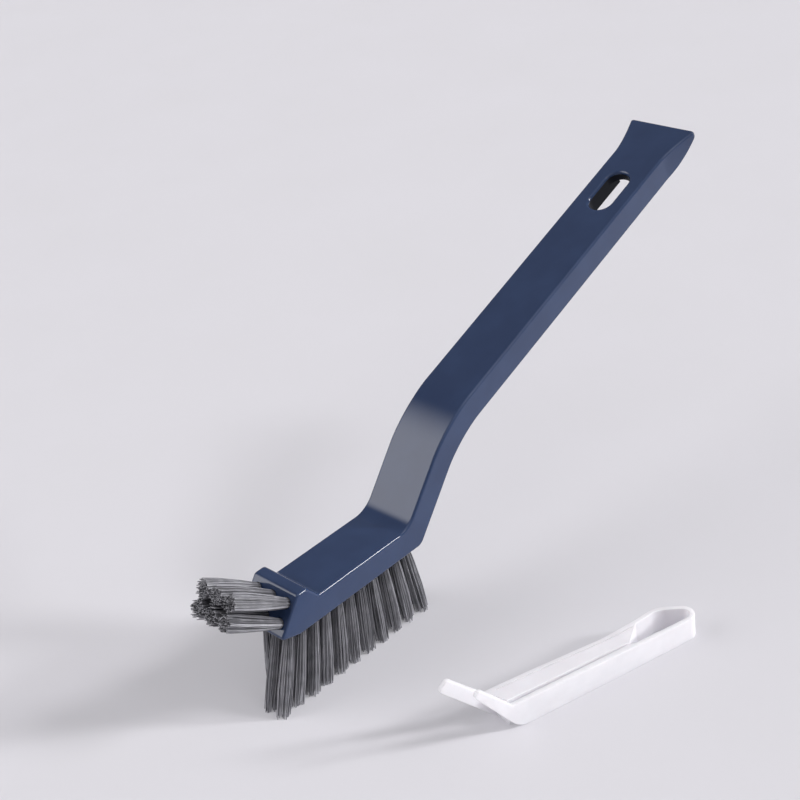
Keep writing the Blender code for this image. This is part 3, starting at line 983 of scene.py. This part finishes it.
    def grip_block(self, name: str, ends: tuple[float, float], half: float,
                   depths: tuple[float, float]) -> Workpiece:
        """Build a block that lies square to the grip.

        Args:
            name: Name of the block.
            ends: Its two ends, measured back from the tail end.
            half: Half its width.
            depths: Its upper and lower depth below the top face.

        Returns:
            The block.
        """
        block = Workpiece.from_outline(name, [
            Corner(self.on_grip(along, depths[0], side))
            for along in ends for side in ((-half, half) if along == ends[0] else (half, -half))])
        with block:
            block.pick_all()
            block.extrude(below(self.grip_rise) * (depths[1] - depths[0]))
            block.face_outwards()
        return block

    def boss_tool(self) -> Workpiece:
        """Build the boss round the slot: deep beside it and shallow at its tail end.

        Returns:
            The boss.
        """
        reach = self.slot_length / 2 + self.boss_wall
        middle, half = self.slot_from_end, self.slot_width / 2
        boss = self.grip_block("boss_tool", (middle - reach, middle + reach), half + self.boss_wall,
                               (self.top_wall - self.overrun, self.boss_depth))
        ends = (middle - reach - self.overrun, middle - self.boss_end)
        depths = (self.boss_end_depth, self.boss_depth + self.overrun)
        boss.carve(self.grip_block("boss_end", ends, half, depths))
        return boss

    def hollow_tool(self) -> Workpiece:
        """Build the tool that hollows the neck and the grip from below.

        Returns:
            The tool.
        """
        beyond_neck = self.neck_depth + self.overrun
        beyond_grip = self.grip_depth + self.overrun
        start = self.low_corner + rise(self.neck_rise) * self.hollow_from_bend
        down = below(self.neck_rise)
        inner = self.under_bend(self.top_wall, self.top_wall)
        outer = self.under_bend(beyond_neck, beyond_grip)
        tool = Workpiece.from_outline("hollow_tool", [
            Corner(start + down * self.top_wall),
            Corner(inner, self.high_bend_radius - self.top_wall, self.high_bend_steps),
            Corner(self.on_grip(self.hollow_from_tail, self.top_wall)),
            Corner(self.on_grip(self.hollow_from_tail, beyond_grip)),
            Corner(outer, self.high_hollow_radius - self.overrun, self.high_bend_steps),
            Corner(start + down * beyond_neck),
        ])
        half = self.width / 2 - self.side_wall
        with tool:
            tool.pick_all()
            tool.move((0, -half, 0))
            tool.extrude((0, half * 2, 0))
            tool.face_outwards()
            tool.bevel_sharp(self.hollow_corner, self.hollow_steps, self.hollow_turn)
        tool.carve(self.boss_tool())
        return tool

    def hole_tool(self, tufts: Sequence[TuftPlace]) -> Workpiece:
        """Build one tool for all the blind holes that hold the tufts.

        Args:
            tufts: The tufts' places.

        Returns:
            The tool.
        """
        rod = Workpiece.rod("hole_rod", self.hole_sides, self.hole_radius, -self.hole_depth,
                            self.overrun)
        holes = [rod.copy("hole_tool", tuft.matrix()) for tuft in tufts]
        rod.discard()
        holes[0].join(holes[1:])
        return holes[0]

    def mark_painted_slot_shade(self, handle: Workpiece) -> None:
        """Mark the walls of the slot as core, to be painted dark as shade and made rougher.

        Args:
            handle: The handle, still in the brush's frame.
        """
        end, way, down = self.on_grip(0), rise(self.grip_rise), below(self.grip_rise)
        length = self.slot_length / 2 + self.shade_mark_slack
        width = self.slot_width / 2 + self.shade_mark_slack
        values = []
        for face in handle.object.data.polygons:
            along, depth = (end - face.center).dot(way), (face.center - end).dot(down)
            values.append(float(
                abs(along - self.slot_from_end) < length and abs(face.center.y) < width
                and self.slot_rim * self.shade_mark_rim_share < depth < self.grip_depth))
        handle.mark("core", "FACE", values)

    def build(self, tufts: Sequence[TuftPlace], place: Matrix) -> Workpiece:
        """Build, dress and place the handle.

        Args:
            tufts: The tufts' places, for their holes.
            place: Matrix from the brush's frame to the scene's frame.

        Returns:
            The finished handle.
        """
        handle = self.build_shell()
        for tool in (self.hollow_tool(), self.slot_tool(), self.hole_tool(tufts)):
            handle.carve(tool)
        with handle:
            handle.face_outwards()
        # The slot's deep walls get painted shade.
        self.mark_painted_slot_shade(handle)
        handle.smooth()
        handle.weigh_normals()
        handle.settle(place)
        handle.dress(NAVY.material(), "handle")
        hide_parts("handle")
        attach(handle.object, "brush")
        return handle


@dataclass(frozen=True)
class TuftPlace:
    """Where one tuft stands.

    Attributes:
        name: Name of the piece.
        node: Node that it replaces.
        root: Middle of its root, in the face that holds it.
        tip: Middle of its free end.
        trim: How its free end is cut.
        shaded: Whether it gets the darker filament, painted shade for the light that the tufts round
            it keep off.
    """

    name: str
    node: str
    root: Vector
    tip: Vector
    trim: Trim
    shaded: bool = False

    def matrix(self) -> Matrix:
        """Give the frame at the root, with Z out along the bristles.

        Returns:
            The frame's matrix.
        """
        z = (self.tip - self.root).normalized()
        x = Vector((0, 1, 0)).cross(z).normalized()
        y = z.cross(x)
        return Matrix.Translation(self.root) @ Matrix((x, y, z)).transposed().to_4x4()

    def length(self) -> float:
        """Give the distance from root to tip."""
        return (self.tip - self.root).length


@dataclass(frozen=True)
class Bunch:
    """What one kind of tuft holds.

    Attributes:
        strands: Number of its strands.
        tip_radius: Radius of its fan at the tips.
        ragged: How much its strands differ in length.
        trimmed: Share of its strands that are cut to length.
    """

    strands: int
    tip_radius: float
    ragged: float
    trimmed: float


@dataclass
class Bristles:
    """All the tufts: three rows below the head and two layers on the nose."""

    row_tufts: int = 11
    row_gap: float = 5.6 * MM
    row_tip_gap: float = 6.3 * MM
    head_under: float = 32.3 * MM
    first_root: float = -11.9 * MM
    last_root: float = 47 * MM
    first_tip: float = -22.6 * MM
    far_first_tip: float = -14.8 * MM
    last_tip: float = 51 * MM
    nose_tufts: int = 3
    nose_tuft_gap: float = 7.6 * MM
    nose_tip_gap: float = 7.0 * MM
    nose_layer_gap: float = 7.6 * MM
    nose_layer_rise: float = 0.9 * MM
    nose_tip_layer_gap: float = 7.1 * MM
    nose_length: float = 28.4 * MM
    nose_rise: float = math.radians(33.5)
    nose_tip: Vector = field(default_factory=lambda: Vector((-19.6, 0, 35.5)) * MM)
    nose_brow: Vector = field(default_factory=lambda: Vector((-10.5, 0, 47.4)) * MM)
    root_radius: float = 1.75 * MM
    row_bunch: Bunch = Bunch(strands=84, tip_radius=2.6 * MM, ragged=2.4 * MM, trimmed=0.5)
    nose_bunch: Bunch = Bunch(strands=130, tip_radius=3.3 * MM, ragged=1.5 * MM,
                              trimmed=0.55)
    root_depth: float = 2.6 * MM
    strand_radius: float = 0.23 * MM
    strand_sides: int = 4
    strand_bow: float = 0.45 * MM
    bow_shares: tuple[tuple[float, float], ...] = ((0.3, 1.0), (0.65, 0.7))
    point_share: float = 0.8
    patterns: int = 4
    nose_short: float = 2.0 * MM
    stray: float = 0.22 * MM
    angle_chance: float = 0.2
    swirl_chance: float = 0.14
    spread_chance: tuple[float, float] = (0.82, 1.12)
    twist_chance: float = 0.9
    usual_length: float = 33 * MM
    spare: float = 1.6 * MM
    seed: int = 7

    def row_places(self, row: Row) -> list[TuftPlace]:
        """Give the places of one row below the head.

        Args:
            row: The row.

        Returns:
            Its tufts, from the nose to the neck.
        """
        places = []
        label = row.name.lower()
        first_tip = self.far_first_tip if row is Row.FAR else self.first_tip
        for index in range(self.row_tufts):
            share = index / (self.row_tufts - 1)
            root = Vector((self.first_root + (self.last_root - self.first_root) * share,
                           row.value * self.row_gap, self.head_under))
            tip = Vector((first_tip + (self.last_tip - first_tip) * share,
                          row.value * self.row_tip_gap, 0))
            places.append(TuftPlace(
                f"{label}_bristles_{index + 1:02d}", f"{label}_tuft_{index + 1:02d}", root, tip,
                Trim.FLOOR, shaded=row is Row.MIDDLE and index > 0))
        return places

    def layer_places(self, layer: Layer) -> list[TuftPlace]:
        """Give the places of one layer on the nose.

        Args:
            layer: The layer.

        Returns:
            Its tufts, from the near side to the far side.
        """
        up = (self.nose_brow - self.nose_tip).normalized()
        middle = (self.nose_brow + self.nose_tip) / 2 + up * self.nose_layer_rise
        out = Vector((-math.cos(self.nose_rise), 0, math.sin(self.nose_rise)))
        tip_up = Vector((math.sin(self.nose_rise), 0, math.cos(self.nose_rise)))
        places = []
        label = layer.name.lower()
        for index in range(self.nose_tufts):
            side = index - (self.nose_tufts - 1) / 2
            root = middle + up * self.nose_layer_gap * layer.value
            root += Vector((0, self.nose_tuft_gap * side, 0))
            tip = middle + out * self.nose_length + tip_up * self.nose_tip_layer_gap * layer.value
            tip += Vector((0, self.nose_tip_gap * side, 0))
            places.append(TuftPlace(f"nose_{label}_bristles_{index + 1}",
                                    f"nose_{label}_tuft_{index + 1}", root, tip, Trim.SQUARE))
        return places

    def places(self) -> list[TuftPlace]:
        """Give the place of every tuft of the brush."""
        rows = [place for row in Row for place in self.row_places(row)]
        return rows + [place for layer in Layer for place in self.layer_places(layer)]

    def build_strand(self) -> Workpiece:
        """Build one strand, which bows a little and ends in a soft point.

        Returns:
            The strand, upright, with its heel in the root.
        """
        strand = Workpiece.rod("strand", self.strand_sides, self.strand_radius, -self.root_depth,
                               self.usual_length)
        with strand:
            for share, bow in self.bow_shares:
                strand.cut((0, 0, self.usual_length * share), (0, 0, 1))
                strand.move((self.strand_bow * bow, 0, 0))
            strand.pick(Element.POINT, lambda point: point.z > self.usual_length - TOUCH)
            strand.stretch((self.point_share, self.point_share, 1), (0, 0, self.usual_length))
            strand.face_outwards()
        strand.mark("reach", "POINT", [point.co.z / self.usual_length
                                       for point in strand.object.data.vertices])
        return strand

    def build_pattern(self, strand: Workpiece, bunch: Bunch, dice: random.Random) -> Workpiece:
        """Fill one tuft with strands that fan out from its root.

        Args:
            strand: The strand that is copied.
            bunch: What the tuft holds.
            dice: Source of the seeded chance.

        Returns:
            The tuft, upright, a little longer than it ends up.
        """
        copies = []
        golden = math.pi * (3 - math.sqrt(5))
        for index in range(bunch.strands):
            share = math.sqrt((index + 0.5) / bunch.strands)
            angle = index * golden + dice.uniform(-self.angle_chance, self.angle_chance)
            foot = Vector((math.cos(angle), math.sin(angle), 0)) * self.root_radius * share
            swirl = angle + dice.uniform(-self.swirl_chance, self.swirl_chance)
            spread = bunch.tip_radius * share * dice.uniform(*self.spread_chance)
            length = self.usual_length - dice.random() * bunch.ragged
            if dice.random() < bunch.trimmed:
                length = self.usual_length + self.spare
            end = Vector((math.cos(swirl) * spread, math.sin(swirl) * spread, length))
            end += Vector((dice.gauss(0, 1), dice.gauss(0, 1), 0)) * self.stray
            z = (end - foot).normalized()
            x = (foot - z * foot.dot(z)).normalized()
            y = z.cross(x)
            turn = Matrix((x, y, z)).transposed().to_4x4()
            twist = dice.uniform(-self.twist_chance, self.twist_chance)
            turn = turn @ Matrix.Rotation(twist, 4, "Z")
            stretch = Matrix.Diagonal((1, 1, (end - foot).length / self.usual_length, 1))
            twin = strand.copy("pattern", Matrix.Translation(foot) @ turn @ stretch)
            twin.mark("tone", "POINT", [dice.random()] * len(twin.object.data.vertices))
            copies.append(twin)
        copies[0].join(copies[1:])
        return copies[0]

    def build(self, place: Matrix) -> list[Workpiece]:
        """Build, trim, dress and place every tuft.

        Args:
            place: Matrix from the brush's frame to the scene's frame.

        Returns:
            The finished tufts.
        """
        dice = random.Random(self.seed)
        strand = self.build_strand()
        patterns = [self.build_pattern(strand, bunch, dice)
                    for bunch in (self.row_bunch, self.nose_bunch) for _ in range(self.patterns)]
        strand.discard()
        # The darker filament paints shade on the middle tufts, which the outer rows keep from the
        # light.
        grey, inner = GREY.material(), PAINTED_SHADE_GREY.material()
        tufts = []
        for index, spot in enumerate(self.places()):
            turn = Matrix.Rotation(dice.uniform(0, math.tau), 4, "Z")
            stretch = Matrix.Diagonal((1, 1, spot.length() / self.usual_length, 1))
            flat = spot.trim is Trim.FLOOR
            pattern = patterns[index % self.patterns + (0 if flat else self.patterns)]
            tuft = pattern.copy(spot.name, spot.matrix() @ stretch @ turn)
            out = (spot.tip - spot.root).normalized()
            level = Vector() if flat else spot.tip - out * self.nose_short
            way = Vector((0, 0, -1)) if flat else out
            with tuft:
                tuft.cut(level, way, trim=True)
            tuft.smooth()
            tuft.settle(place)
            tuft.dress(inner if spot.shaded else grey, "bristle")
            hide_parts(spot.node)
            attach(tuft.object, "brush")
            tufts.append(tuft)
        for pattern in patterns:
            pattern.discard()
        return tufts


@dataclass(frozen=True)
class ClipTip:
    """The raised tip of one arm of the clip.

    Attributes:
        end: Place along the clip where the padded arm ends.
        pad: Across place of the pad's slit face there.
        bend: Place along the clip of the sharp bend.
        rise: Angle at which the tip rises.
        length: Length of the tip's lower edge.
        outer: Across place of the tip's outer face.
        inner: Across place of the tip's inner face.
        bend_round: Radius of the bend below.
        depth: Depth of the tip at its bend.
        end_depth: Depth of the tip at its end.
    """

    end: float
    pad: float
    bend: float
    rise: float
    length: float
    outer: float
    inner: float
    bend_round: float
    depth: float
    end_depth: float


@dataclass
class Clip:
    """The white spring clip: one bent strip with a loop, two padded arms and two raised tips.

    The plan lists its corners in millimetres, each with its place along, its place across and the
    radius of its rounding.
    """

    turn: float = math.radians(-16.5)
    pivot: Vector = field(default_factory=lambda: Vector((76.415, 3.956, 0)) * MM)
    near_tip: ClipTip = ClipTip(
        end=2.6 * MM, pad=1.9 * MM, bend=-1.8 * MM, rise=math.radians(54), length=28 * MM,
        outer=0.0, inner=1.9 * MM, bend_round=8 * MM, depth=5 * MM, end_depth=3.2 * MM)
    far_tip: ClipTip = ClipTip(
        end=-4 * MM, pad=3.4 * MM, bend=-5.5 * MM, rise=math.radians(47.2), length=30 * MM,
        outer=12.3 * MM, inner=10.4 * MM, bend_round=3 * MM, depth=5.6 * MM,
        end_depth=5.2 * MM)
    near_plan: tuple[tuple[float, float, float], ...] = (
        (30, -0.25, 0), (66, -0.3, 0))
    loop_plan: tuple[tuple[float, float, float], ...] = (
        (76.8, 0.1, 4.2), (77.6, 6.6, 4), (67.2, 13.3, 10), (58, 11.9, 20))
    far_plan: tuple[tuple[float, float, float], ...] = (
        (42, 10.6, 30), (12, 11.9, 0))
    hollow_plan: tuple[tuple[float, float, float], ...] = (
        (48, 3.1, 0.6), (56, 9.9, 0.8), (58, 10.1, 6), (66.7, 11.4, 8), (75.7, 5.7, 2.2),
        (75.1, 1.7, 2.4), (66, 1.5, 0), (49.5, 1.5, 1), (47.5, 2.4, 1))
    groove_plan: tuple[tuple[float, float], ...] = ((54, 9.1), (42, 8.8), (12, 10.1), (-4, 10.4))
    groove: float = 0.3 * MM
    groove_reach: float = 1.2 * MM
    loop_end: float = 72.4 * MM
    loop_height: float = 9.6 * MM
    bend_height: float = 11.2 * MM
    blank_height: float = 13.44 * MM
    round_steps: int = 7
    tip_steps: int = 4
    tip_round: float = 1.5 * MM
    tip_round_steps: int = 5
    brow_share: float = 0.7
    slit: tuple[float, float] = (2.45 * MM, 3.05 * MM)
    edge_round: float = 0.35 * MM
    edge_steps: int = 3

    def arm_height(self, along: float) -> float:
        """Give the height of the arms at a place along them, which falls off towards the loop."""
        share = 1 - along / self.loop_end
        return self.loop_height + (self.bend_height - self.loop_height) * share

    def arm_end(self, tip: ClipTip) -> list[Vector]:
        """Give the end face that a tip grows from: outer and inner foot, inner and outer top."""
        top = self.arm_height(tip.end)
        return [Vector((tip.end, tip.outer, 0)), Vector((tip.end, tip.pad, 0)),
                Vector((tip.end, tip.pad, top)), Vector((tip.end, tip.outer, top))]

    def tip_rings(self, tip: ClipTip) -> list[list[Vector]]:
        """Give the sections of a raised tip, from its bend to its end.

        Args:
            tip: The tip.

        Returns:
            The sections.
        """
        way = Vector((-math.cos(tip.rise), 0, math.sin(tip.rise)))
        up = Vector((math.sin(tip.rise), 0, math.cos(tip.rise)))
        bend = Vector((tip.bend, 0, 0))
        reach = tip.bend_round * math.tan(tip.rise / 2)
        climb = (self.arm_height(tip.bend) - up.z * tip.depth) / way.z
        brow = bend + up * tip.depth + way * climb
        shoulder = Vector((tip.end, 0, self.arm_height(tip.end)))
        shares = [step / self.tip_steps for step in range(1, self.tip_steps + 1)]
        pairs = []
        for share in shares:
            lean = tip.rise * share
            low = bend + Vector((reach - tip.bend_round * math.sin(lean), 0,
                                 tip.bend_round * (1 - math.cos(lean))))
            over = self.brow_share + (1 - self.brow_share) * share
            pairs.append((low, shoulder.lerp(brow, over)))
        for share in shares:
            low = bend + way * (reach + (tip.length - reach) * share)
            high = brow + way * (tip.length - climb) * share
            pairs.append((low, high - up * (tip.depth - tip.end_depth) * share))
        return [[Vector((spot.x, across, spot.z))
                 for spot, across in ((low, tip.outer), (low, tip.inner),
                                      (high, tip.inner), (high, tip.outer))]
                for low, high in pairs]

    def build_strip(self) -> Workpiece:
        """Build the flat part: loop and padded arms, with the top cut at a slant.

        Returns:
            The strip, with both arms ending in flat faces.
        """
        spots = [(self.near_tip.end / MM, self.near_tip.outer / MM, 0), *self.near_plan,
                 *self.loop_plan, *self.far_plan,
                 (self.far_tip.end / MM, self.far_tip.outer / MM, 0),
                 (self.far_tip.end / MM, self.far_tip.pad / MM, 0), *self.hollow_plan,
                 (self.near_tip.end / MM, self.near_tip.pad / MM, 0)]
        strip = Workpiece.from_outline("spring_clip", [
            Corner(Vector((along, across, 0)) * MM, radius * MM, self.round_steps)
            for along, across, radius in spots])
        slant = (self.bend_height - self.loop_height) / self.loop_end
        with strip:
            strip.pick_all()
            strip.extrude((0, 0, self.blank_height))
            strip.cut((0, 0, self.bend_height), (slant, 0, 1), trim=True)
            strip.face_outwards()
        return strip

    def groove_tool(self) -> Workpiece:
        """Build the tool that cuts the fine groove between the far wall and its pad.

        Returns:
            The tool.
        """
        half = self.groove / 2
        ways = [(along * MM, across * MM - half) for along, across in self.groove_plan]
        ways += [(along, across + self.groove) for along, across in reversed(ways)]
        tool = Workpiece.from_outline("groove_tool", [
            Corner(Vector((along, across, self.arm_height(along) - self.groove)))
            for along, across in ways])
        with tool:
            tool.pick_all()
            tool.extrude((0, 0, self.groove_reach))
            tool.face_outwards()
        return tool

    def build(self, place: Matrix) -> Workpiece:
        """Build, dress and place the clip.

        Args:
            place: Matrix from the clip's frame to the scene's frame.

        Returns:
            The finished clip.
        """
        clip = self.build_strip()
        with clip:
            for tip in (self.near_tip, self.far_tip):
                clip.end = self.arm_end(tip)
                for ring in self.tip_rings(tip):
                    clip.draw_out(ring)
                last = clip.end
                for one, other in ((0, 1), (2, 3)):
                    clip.pick_near_edge((last[one] + last[other]) / 2)
                    clip.round_off(self.tip_round, self.tip_round_steps)
            clip.face_outwards()
            clip.bevel_sharp(self.edge_round, self.edge_steps, FLAT_TURN)
        clip.carve(self.groove_tool())
        clip.smooth()
        clip.weigh_normals()
        clip.settle(place)
        clip.dress(WHITE.material(), "clip")
        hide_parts("clip_near_arm", "clip_far_arm")
        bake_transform(clip.object)
        return clip


@dataclass(frozen=True)
class SoftBox:
    """A soft light far off in the room.

    Attributes:
        name: Name of the light.
        way: Direction towards it.
        strength: Its brightness.
        edge: Cosine of the angle at which it starts.
        core: Cosine of the angle at which it is full.
    """

    name: str
    way: Vector
    strength: float
    edge: float
    core: float


@dataclass
class Studio:
    """The floor, the light and the camera."""

    camera_place: Vector = field(
        default_factory=lambda: Vector((-261.09, -356.93, 373.01)) * MM)
    camera_right: Vector = field(default_factory=lambda: Vector((0.6841, -0.7186, -0.1253)))
    camera_up: Vector = field(default_factory=lambda: Vector((0.4470, 0.2772, 0.8505)))
    lens: float = 69.013
    sensor: float = 36.0
    near_clip: float = 0.01
    floor_size: float = 8.0
    floor_cuts: int = 3
    floor_scale: float = 14.0
    floor_detail: float = 3.0
    floor_rough: float = 0.7
    floor_specular: float = 0.2
    floor_glow: float = 0.3
    floor_shades: tuple[Shade, Shade] = (colour(193, 192, 196), colour(196, 195, 200))
    light_shade: Shade = (1.0, 0.985, 1.0, 1.0)
    key_strength: float = 2.1
    key_angle: float = math.radians(7.2)
    key_azimuth: float = math.radians(-45)
    key_height: float = math.radians(18)
    room_light: float = 0.24
    boxes: tuple[SoftBox, ...] = field(default_factory=lambda: (
        SoftBox("back", Vector((-0.62, 0.62, 0.48)), 3.3, 0.85, 0.992),
        SoftBox("top", Vector((-0.15, -0.45, 0.88)), 0.5, 0.80, 0.93),
        SoftBox("edge", Vector((0.507, -0.63, 0.59)), 38.0, 0.9925, 0.998),
        SoftBox("line", Vector((0.11, -0.68, 0.72)), 2.0, 0.98, 0.993),
    ))

    def add_camera(self, offset: Vector) -> None:
        """Add the camera where the photograph was taken from.

        Args:
            offset: Place of the brush's frame in the scene.
        """
        data = bpy.data.cameras.new("studio_camera")
        data.lens = self.lens
        data.sensor_width = self.sensor
        data.clip_start = self.near_clip
        camera = bpy.data.objects.new("studio_camera", data)
        bpy.context.collection.objects.link(camera)
        right = self.camera_right.normalized()
        back = right.cross(self.camera_up).normalized()
        up = back.cross(right)
        turn = Matrix((right, up, back)).transposed().to_4x4()
        camera.matrix_world = Matrix.Translation(offset + self.camera_place) @ turn
        bpy.context.scene.camera = camera

    def add_floor(self) -> None:
        """Lay the pale floor."""
        Workpiece.clear_selection()
        bpy.ops.mesh.primitive_plane_add(size=self.floor_size, location=(0, 0, 0))
        floor = Workpiece("studio_floor")
        with floor:
            bpy.ops.mesh.subdivide(number_cuts=self.floor_cuts)
        made, sheet = new_material("pale_floor")
        cloud = sheet.noise(self.floor_scale, self.floor_detail)
        base = sheet.blend(cloud, *self.floor_shades)
        sheet.surface(Base_Color=base, Roughness=self.floor_rough,
                      Specular_IOR_Level=self.floor_specular, Emission_Color=base,
                      Emission_Strength=self.floor_glow)
        floor.object.data.materials.append(made)

    def add_key(self) -> None:
        """Add the low key light from the right."""
        data = bpy.data.lights.new("key_light", "SUN")
        data.energy = self.key_strength
        data.angle = self.key_angle
        lamp = bpy.data.objects.new("key_light", data)
        bpy.context.collection.objects.link(lamp)
        way = Vector((math.cos(self.key_azimuth) * math.cos(self.key_height),
                      math.sin(self.key_azimuth) * math.cos(self.key_height),
                      math.sin(self.key_height)))
        lamp.rotation_euler = way.to_track_quat("Z", "Y").to_euler()

    def add_world(self) -> None:
        """Add the dim room with its soft boxes."""
        world = bpy.data.worlds.new("studio_room")
        bpy.context.scene.world = world
        world.use_nodes = True
        sheet = NodeSheet(world.node_tree)
        way = sheet.add("ShaderNodeTexCoord").outputs["Generated"]
        total: bpy.types.NodeSocket | float = self.room_light
        for box in self.boxes:
            toward = sheet.add("ShaderNodeVectorMath",
                               {"operation": "DOT_PRODUCT", "name": box.name},
                               n0=way, n1=box.way.normalized()).outputs["Value"]
            shine = sheet.between(toward, box.edge, box.core, 0.0, box.strength)
            total = sheet.reckon("ADD", total, shine)
        light = sheet.add("ShaderNodeBackground", Color=self.light_shade, Strength=total)
        sheet.add("ShaderNodeOutputWorld", Surface=light.outputs[0])

    def build(self, offset: Vector) -> None:
        """Build the studio.

        Args:
            offset: Place of the brush's frame in the scene.
        """
        self.add_camera(offset)
        self.add_floor()
        self.add_key()
        self.add_world()
        bpy.context.scene.view_settings.view_transform = "Standard"


@dataclass
class BrushSet:
    """The whole set: the brush, its bristles and the clip."""

    handle: Handle = field(default_factory=Handle)
    bristles: Bristles = field(default_factory=Bristles)
    clip: Clip = field(default_factory=Clip)
    studio: Studio = field(default_factory=Studio)
    mount_along: float = 20 * MM

    def brush_place(self) -> Vector:
        """Give the place of the brush's frame, from the mount on the head.

        Returns:
            The place.
        """
        mounts = {mount["name"]: mount for mount in frame["record"]["mounts"]}
        spot = Vector(mounts["head_top"]["pos_m"])
        return spot - Vector((self.mount_along, 0, self.handle.head_top))

    def clip_place(self) -> Matrix:
        """Give the matrix of the clip's frame, from the joint at its loop.

        Returns:
            The matrix.
        """
        joints = {joint["name"]: joint for joint in frame["record"]["behaviour"]["joints"]}
        spot = Vector(joints["clip_squeeze"]["pos_m"])
        turn = Matrix.Rotation(self.clip.turn, 4, "Z")
        return Matrix.Translation(spot - turn @ self.clip.pivot) @ turn

    def build(self) -> None:
        """Build every piece in order and log it."""
        place = self.brush_place()
        self.studio.build(place)
        carry = Matrix.Translation(place)
        pieces = [self.handle.build(self.bristles.places(), carry)]
        pieces += self.bristles.build(carry)
        pieces.append(self.clip.build(self.clip_place()))
        for piece in pieces:
            piece.report()


def main() -> None:
    """Dress the set."""
    logging.basicConfig(level=logging.INFO, format="%(message)s")
    BrushSet().build()


if __name__ == "__main__":
    main()
